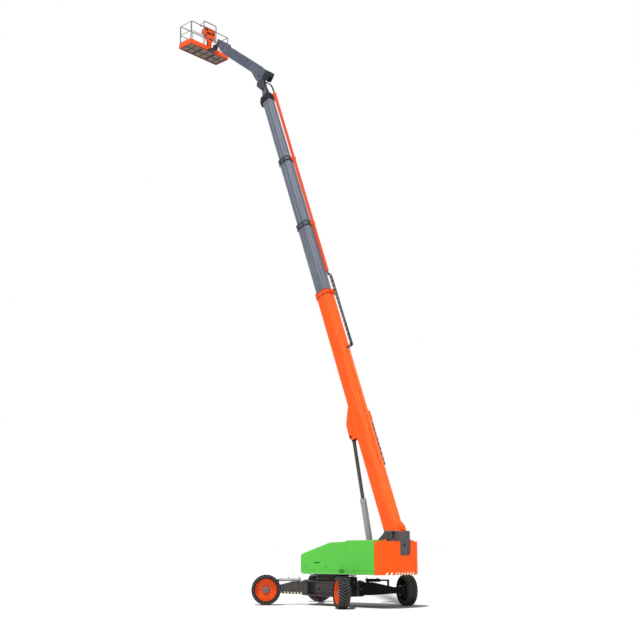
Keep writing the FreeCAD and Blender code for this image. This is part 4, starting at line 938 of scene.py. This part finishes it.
def lift_trim():
    """The lift cylinder's gland and pipe and the rod's collar."""
    along = Vector(JOINTS["lift_stroke"]["axis"]).normalized()
    at = axes_at(place("lift_tilt"), along if along.z > 0 else -along, (-1, 0, 0))
    body = "lift_barrel_body"
    gland = Shape(at).ring(mm("116 0,124 8,124 105,118 115,118 150,100 160,84 168,78 168,78 156,114.5 146,"
        "114.5 0"), (2.46, 0, 0), X, 36)
    gland.ring(mm("115.5 0,122 6,122 40,115.5 46"), (.24, 0, 0), X, 36)
    for y, z in circle(10, .098):
        gland.bolt((2.627, y, z), X, .009, 1)
    gland.make("lift_gland", body, "cylinder zinc_steel", 35)
    pipe = Shape(at).tube(bend(mm("340 0 112,360 0 140,420 0 148,1200 0 148,2400 0 148,2500 0 146,"
        "2520 0 120")), .014, 10)
    for x in (.34, 2.52):
        pipe.block(x - .032, -.032, .104, x + .032, .032, .13, 1, .004)
    for x in (.8, 1.4, 2.0):
        pipe.frame_ring(rect(-.024, .112, .024, .166), rect(-.015, .12, .015, .163), "x", x - .012, x + .012, 1)
    pipe.make("lift_pipe", body, "cylinder zinc_steel", 40)
    collar = Shape(at).ring(mm("72.5 0,86 10,86 60,78 75,72.5 80"), (4.9, 0, 0), X, 32)
    collar.make("rod_eye_collar", "lift_rod_body", "black_plastic", 35, "rod")


for level in range(4):
    collar_trim(level)
carrier_trim()
for level in (1, 2, 3):
    fold_lines(level)
base_trim()
chain_links()
lift_trim()


# ---------------- jib and platform

HEAD_RISE, JIB_LENGTH = .256, 4.022
reach = place("platform_level") - place("jib_luff")
JIB_ANGLE = atan2(reach.z, reach.x) - atan2(HEAD_RISE, JIB_LENGTH)
JIB = axes_at(place("jib_luff"), (cos(JIB_ANGLE), 0, sin(JIB_ANGLE)), UP)
DECK_AT = Matrix.Translation(place("platform_turn"))


def half_wide(node):
    """Half a node's width."""
    low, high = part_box(node)
    return (high[1] - low[1]) / 2


def nose_trim():
    """Pin caps, ribs, level cylinder and the hose loop to the jib."""
    nose = place("jib_level")
    caps = Shape(Matrix.Translation(nose)).caps(mm("62 0,62 10,45 18,16 18,16 28,0 28"), 0, .1395, 0)
    caps.make("nose_pin_caps", "fly_3", "dark_steel", 35, "boom")
    ribs = Shape(BOOM).walls(mm("21190 -335,21230 -330,21500 -245,21500 -225,21230 -302,21190 -305"),
        .1255, .133)
    ribs.bolts(mm("21240 -260,21240 -130,21360 -195"), .1258, .014).make("nose_ribs", "fly_3", "boom", 35)
    level = Shape(BOOM).turned(mm("30 0,44 10,44 250,30 262,20 264,20 300,0 300"), (21.19, .045, -.045),
        (1, 0, .1))
    level.turned(mm("26 0,38 10,38 200,26 212,0 214"), (21.19, -.05, -.335), (1, 0, .05))
    level.make("level_cylinder", "fly_3", "black_plastic", 35, "cylinder")
    end = BOOM @ Vector((21.15, -.11, .2))
    away = mm("3717 48 22952,3820 70 23120,3975 72 23235,4110 72 23335,4235 72 23405")
    points = [end, BOOM @ Vector((21.185, -.11, .202))] + [Vector((AXIS.x + x, end.y + y, z)) for x, y, z in away]
    hoses = Shape().tube(bend(points, 10), .026, 12)
    beside = Vector((.01, .034, -.012))
    hoses.tube(bend([p + beside for p in points], 10), .014, 10)
    loop = hoses.make("hose_loop", None, "hose_rubber", 60)
    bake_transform(loop)
    base = place("jib_luff") - nose
    pins = Shape(Matrix.Translation(nose)).caps(mm("55 0,55 8,40 14,14 14,14 22,0 22"), base.x,
        half_wide("jib_mount") - .0005, base.z)
    pins.make("jib_pin_caps", "jib_link", "dark_steel", 35)


def jib_trim():
    """The jib's light edge lines (painted highlights), light seams, hoses, caps and the drive box's ribs."""
    width = .125
    lines, seams, pipes = Shape(JIB), Shape(JIB), Shape(JIB)
    for side in SIDES:
        # Light slate lines along the jib's upper and lower edges: painted highlight.
        y = side * (width - .001)
        lines.tube([(.3, y, .379), (3.45, y, .379)], .0042, 6)
        lines.tube([(.95, y, -.044), (3.55, y, -.044)], .0042, 6)
    lines.make("jib_edge_highlights", "jib_arm", "seam_slate", 60)
    near = width - .0005
    for outline in ("620 -40,660 -40,460 372,420 372", "900 -40,930 -40,730 372,700 372",
            "3300 -30,3330 -30,3330 372,3300 372"):
        seams.walls(mm(outline), near, width + .0065)
    seams.walls(rect(1.32, .262, 1.44, .318), near, width + .02, 1)
    for x in (.4, 2.45):
        seams.walls(rect(x, .3, x + .05, .35), near, width + .01, 1)
    seams.make("jib_seams", "jib_arm", "seam_slate black_plastic")
    for y in (-.07, -.02, .03):
        path = [(.3, y, .398), (1.2, y, .4), (2.2, y, .399), (3.35, y, .398), (3.5, y, .405)]
        pipes.tube(bend(path, 5), .014, 8)
    for x in (.45, 1.25, 2.05, 2.85, 3.4):
        pipes.block(x - .022, -.095, .3795, x + .022, .055, .4165, 1, .003)
    pipes.make("jib_hoses", "jib_arm", "hose_rubber boom", 60)
    caps = Shape(JIB).caps(mm("50 0,50 8,36 14,12 14,12 22,0 22"), JIB_LENGTH, half_wide("jib") - .0005, HEAD_RISE)
    caps.bolts(mm("3800 360,3800 120,150 320,150 100"), near, .013)
    caps.make("jib_head_caps", "jib_arm", "dark_steel", 35, "boom")
    half = half_wide("jib_drive_box")
    ribs = Shape(JIB).bolts(mm("-585 10,-235 10,-585 415,-235 415"), half - .0005, .01)
    for z in (.05, .13, .21, .29, .37):
        ribs.walls(rect(-.585, z, -.235, z + .02), half - .0005, half + .003)
    ribs.make("drive_box_ribs", "jib_arm", "black_plastic", 35)


def platform_trim():
    """The floor's skirt, rim, beams and mesh, and the rails' fixings."""

    def piece():
        return Shape(DECK_AT)

    x0, x1, half = .365, 1.275, 1.22
    outer = rect(x0 - .0045, -1.2232, x1 + .0008, 1.2232)
    skirt = piece().frame_ring(outer, rect(x0 + .004, -half + .009, x1 - .004, half - .009), "z", .03, .101)
    skirt.make("floor_skirt", "platform", "boom_orange")
    # The rim and the beams under the floor are dark red and red-brown: painted shade under the platform; the rim
    # also has dirt spots.
    rims = piece().frame_ring(outer, rect(x0 + .06, -half + .075, x1 - .06, half - .075), "z", -.0045, .029)
    for y in (-.41, .41):
        rims.block(x0 + .061, y - .04, -.004, x1 - .061, y + .04, .0035, 1)
    rims.make("floor_rim", "platform", "rim_red beam_brown")
    under = piece().block(.804, -half + .03, .006, .836, half - .03, .046)
    for y in (-.82, .82, 0.0):
        under.block(x0 + .03, y - .018, .004, x1 - .03, y + .018, .05)
    under.make("floor_beams", "platform", "beam_brown")
    mesh = piece()
    for k in range(58):
        y = -1.14 + .04 * k
        mesh.block(x0 + .062, y - .013, .022, x1 - .062, y + .013, .029)
    for k in range(20):
        x = x0 + .075 + .04 * k
        mesh.block(x - .009, -half + .078, .029, x + .009, half - .078, .035)
    mesh.make("floor_mesh", "platform", "mesh_grey")
    rear, ahead, end = .395, 1.245, 1.19
    posts = ((rear, end), (rear, -end), (ahead, end), (ahead, -end))
    fixings, grips = piece(), piece()
    for x, y in posts + ((rear, 0.0), (ahead, 0.0), (ahead, .6), (ahead, -.6)):
        fixings.block(x - .03, y - .03, .1005, x + .03, y + .03, .1085, 0, .002)
        fixings.turned(mm("25.5 0,25.5 55,20.5 60"), (x, y, .106), UP, 14)
        fixings.turned(mm("23.5 0,23.5 36,20.5 40"), (x, y, .69), UP, 14)
    fixings.make("rail_feet", "platform", "rail", 40)
    for x, y0, y1 in ((rear, -1.15, -.44), (rear, .44, 1.15), (ahead, -1.1, 1.1)):
        grips.tube([(x, y0, 1.2), (x, y1, 1.2)], .0235, 12)
    hoop = [p for p in rounded(-.397, 1.0, .397, 1.5228, .06) if p[1] > 1.2]
    hoop.sort(key=lambda p: atan2(p[1] - 1.2, -p[0]))
    grips.tube([(rear, y, z) for y, z in [(-.397, .74)] + hoop + [(.397, .74)]], .0262, 12)
    for x, y in posts:
        grips.tube([(x, y, .76), (x, y, 1.17)], .0232, 12)
    grips.make("rail_grips", "platform", "rail_grip", 60)
    toe = piece()
    for y in (-1.1, -.66, -.22, .22, .66, 1.1):
        toe.bolt((.372, y, .17), (-1, 0, 0), .009)
    toe.make("toe_bolts", "platform", "zinc_steel", 35)


def console_trim():
    """Console, cables, markers and the overhead sensor."""
    face = .4125
    console, dark, panel, cables, lamp, guard = (Shape(DECK_AT) for _ in range(6))
    for back, y0, z0, y1, z1 in mm("14 -347 620 -313 1268,14 313 620 347 1268,12 -330 1236 330 1268,"
            "12 -330 880 330 905"):
        console.block(face - back, y0, z0, face + .002, y1, z1, 0, .003)
    console.make("console_frame", "platform", "boom_orange")
    for y, z, w, h in mm("50 980 260 100,-220 1020 130 120,200 1135 160 70,-100 700 200 90,260 800 90 70"):
        dark.block(face - .02, y - w / 2, z - h / 2, face + .002, y + w / 2, z + h / 2, 0, .004)
    dark.make("console_backs", "platform", "black_plastic")
    panel.block(.45, -.3, 1.1805, .66, .3, 1.19, 0, .002)
    lever = mm("36 0,34 12,14 20,11 75,18 85,20 115,12 128,0 130")
    for y in (-.22, .22):
        panel.turned(lever, (.575, y, 1.188), UP, 16)
    for k in range(6):
        panel.turned(mm("12 0,12 6,5 8,4 24,0 25"), (.53 + .07 * (k % 2), -.11 + .044 * k, 1.188), UP, 10)
    panel.turned(mm("20 0,20 12,26 14,26 26,0 30"), (.63, 0.0, 1.188), UP, 18, 1)
    panel.make("console_controls", "platform", "black_plastic red_plastic", 35)
    for y, dip in ((.1, 0.0), (.15, .03), (-.06, .05)):
        cables.tube(bend([(face + .02, y, .6), (face - .01, y, .44 - dip), (face - .014, y - .02, .28),
            (face - .01, y - .03, .16), (face + .02, y - .03, .112)]), .01, 8)
    cables.make("console_cables", "platform", "hose_rubber", 60)
    for y, z in ((-.3, .035), (-.48, .06)):
        lamp.block(.347, y - .075, z, .361, y + .06, z + .105, 0, .004)
    lamp.make("platform_markers", "platform", "red_plastic")
    path = mm("396 397 1455,500 397 1458,600 397 1450,622 397 1425,622 397 1375")
    guard.tube(bend(path), .014, 10).block(.59, .365, 1.3, .655, .429, 1.385, 1, .008)
    guard.make("overhead_sensor", "platform", "boom_orange red_plastic", 40)


nose_trim()
jib_trim()
platform_trim()
console_trim()


# ---------------- floor and light

def collection_of(name, things):
    """A collection of things."""
    kept = bpy.data.collections.new(name)
    for thing in things:
        kept.objects.link(thing)
    return kept


def sun_of(name, strength, degrees, direction):
    """A sun, so many degrees wide."""
    data = bpy.data.lights.new(name, "SUN")
    data.energy = strength
    data.angle = radians(degrees)
    sun = put(name, data)
    sun.rotation_euler = Vector(direction).to_track_quat("-Z", "Y").to_euler()
    return sun


FLOOR_HALF = 400.0
floor_mesh = bpy.data.meshes.new("floor")
floor_mesh.from_pydata([(x, y, 0) for x, y in rect(-FLOOR_HALF, -FLOOR_HALF, FLOOR_HALF, FLOOR_HALF)], [],
    [(0, 1, 2, 3)])
floor = bpy.data.objects.new("floor", floor_mesh)
floor.location = (0, 0, -.002)
stage_things = collection_of("stage_things", [floor])
scene.collection.children.link(stage_things)
floor_mesh.materials.append(FINISH["floor_white"])

world = bpy.data.worlds.new("world")
scene.world = world
world.use_nodes = True
world.node_tree.nodes["Background"].inputs["Color"].default_value = (1, 1, 1, 1)
world.node_tree.nodes["Background"].inputs["Strength"].default_value = 1.0

# The fill lights boom and jib alone; the floor has a sun of its own; carrier, tray and chain cast no key shadow.
SUN_WAY = (.172, -.476, -.862)
boom_parts = [thing for thing in scene.objects
    if thing.name in NODES and thing.name.startswith(("fly_", "boom_base_tube", "jib"))
    or thing.name.startswith(("fold_edges", "base_fold"))]
fill = sun_of("boom_fill", 1.3, 20, (.9, .05, -.43))
fill.data.use_shadow = False
fill.light_linking.receiver_collection = collection_of("fill_things", boom_parts)
sun_of("floor_sun", 8.6, 4, SUN_WAY).light_linking.receiver_collection = stage_things
blockers = [thing for thing in scene.objects
    if thing.type == "MESH" and not thing.name.startswith(("chain", "energy_chain", "carrier", "tray"))]
sun_of("key_sun", 1.25, 6, SUN_WAY).light_linking.blocker_collection = collection_of("key_blockers", blockers)
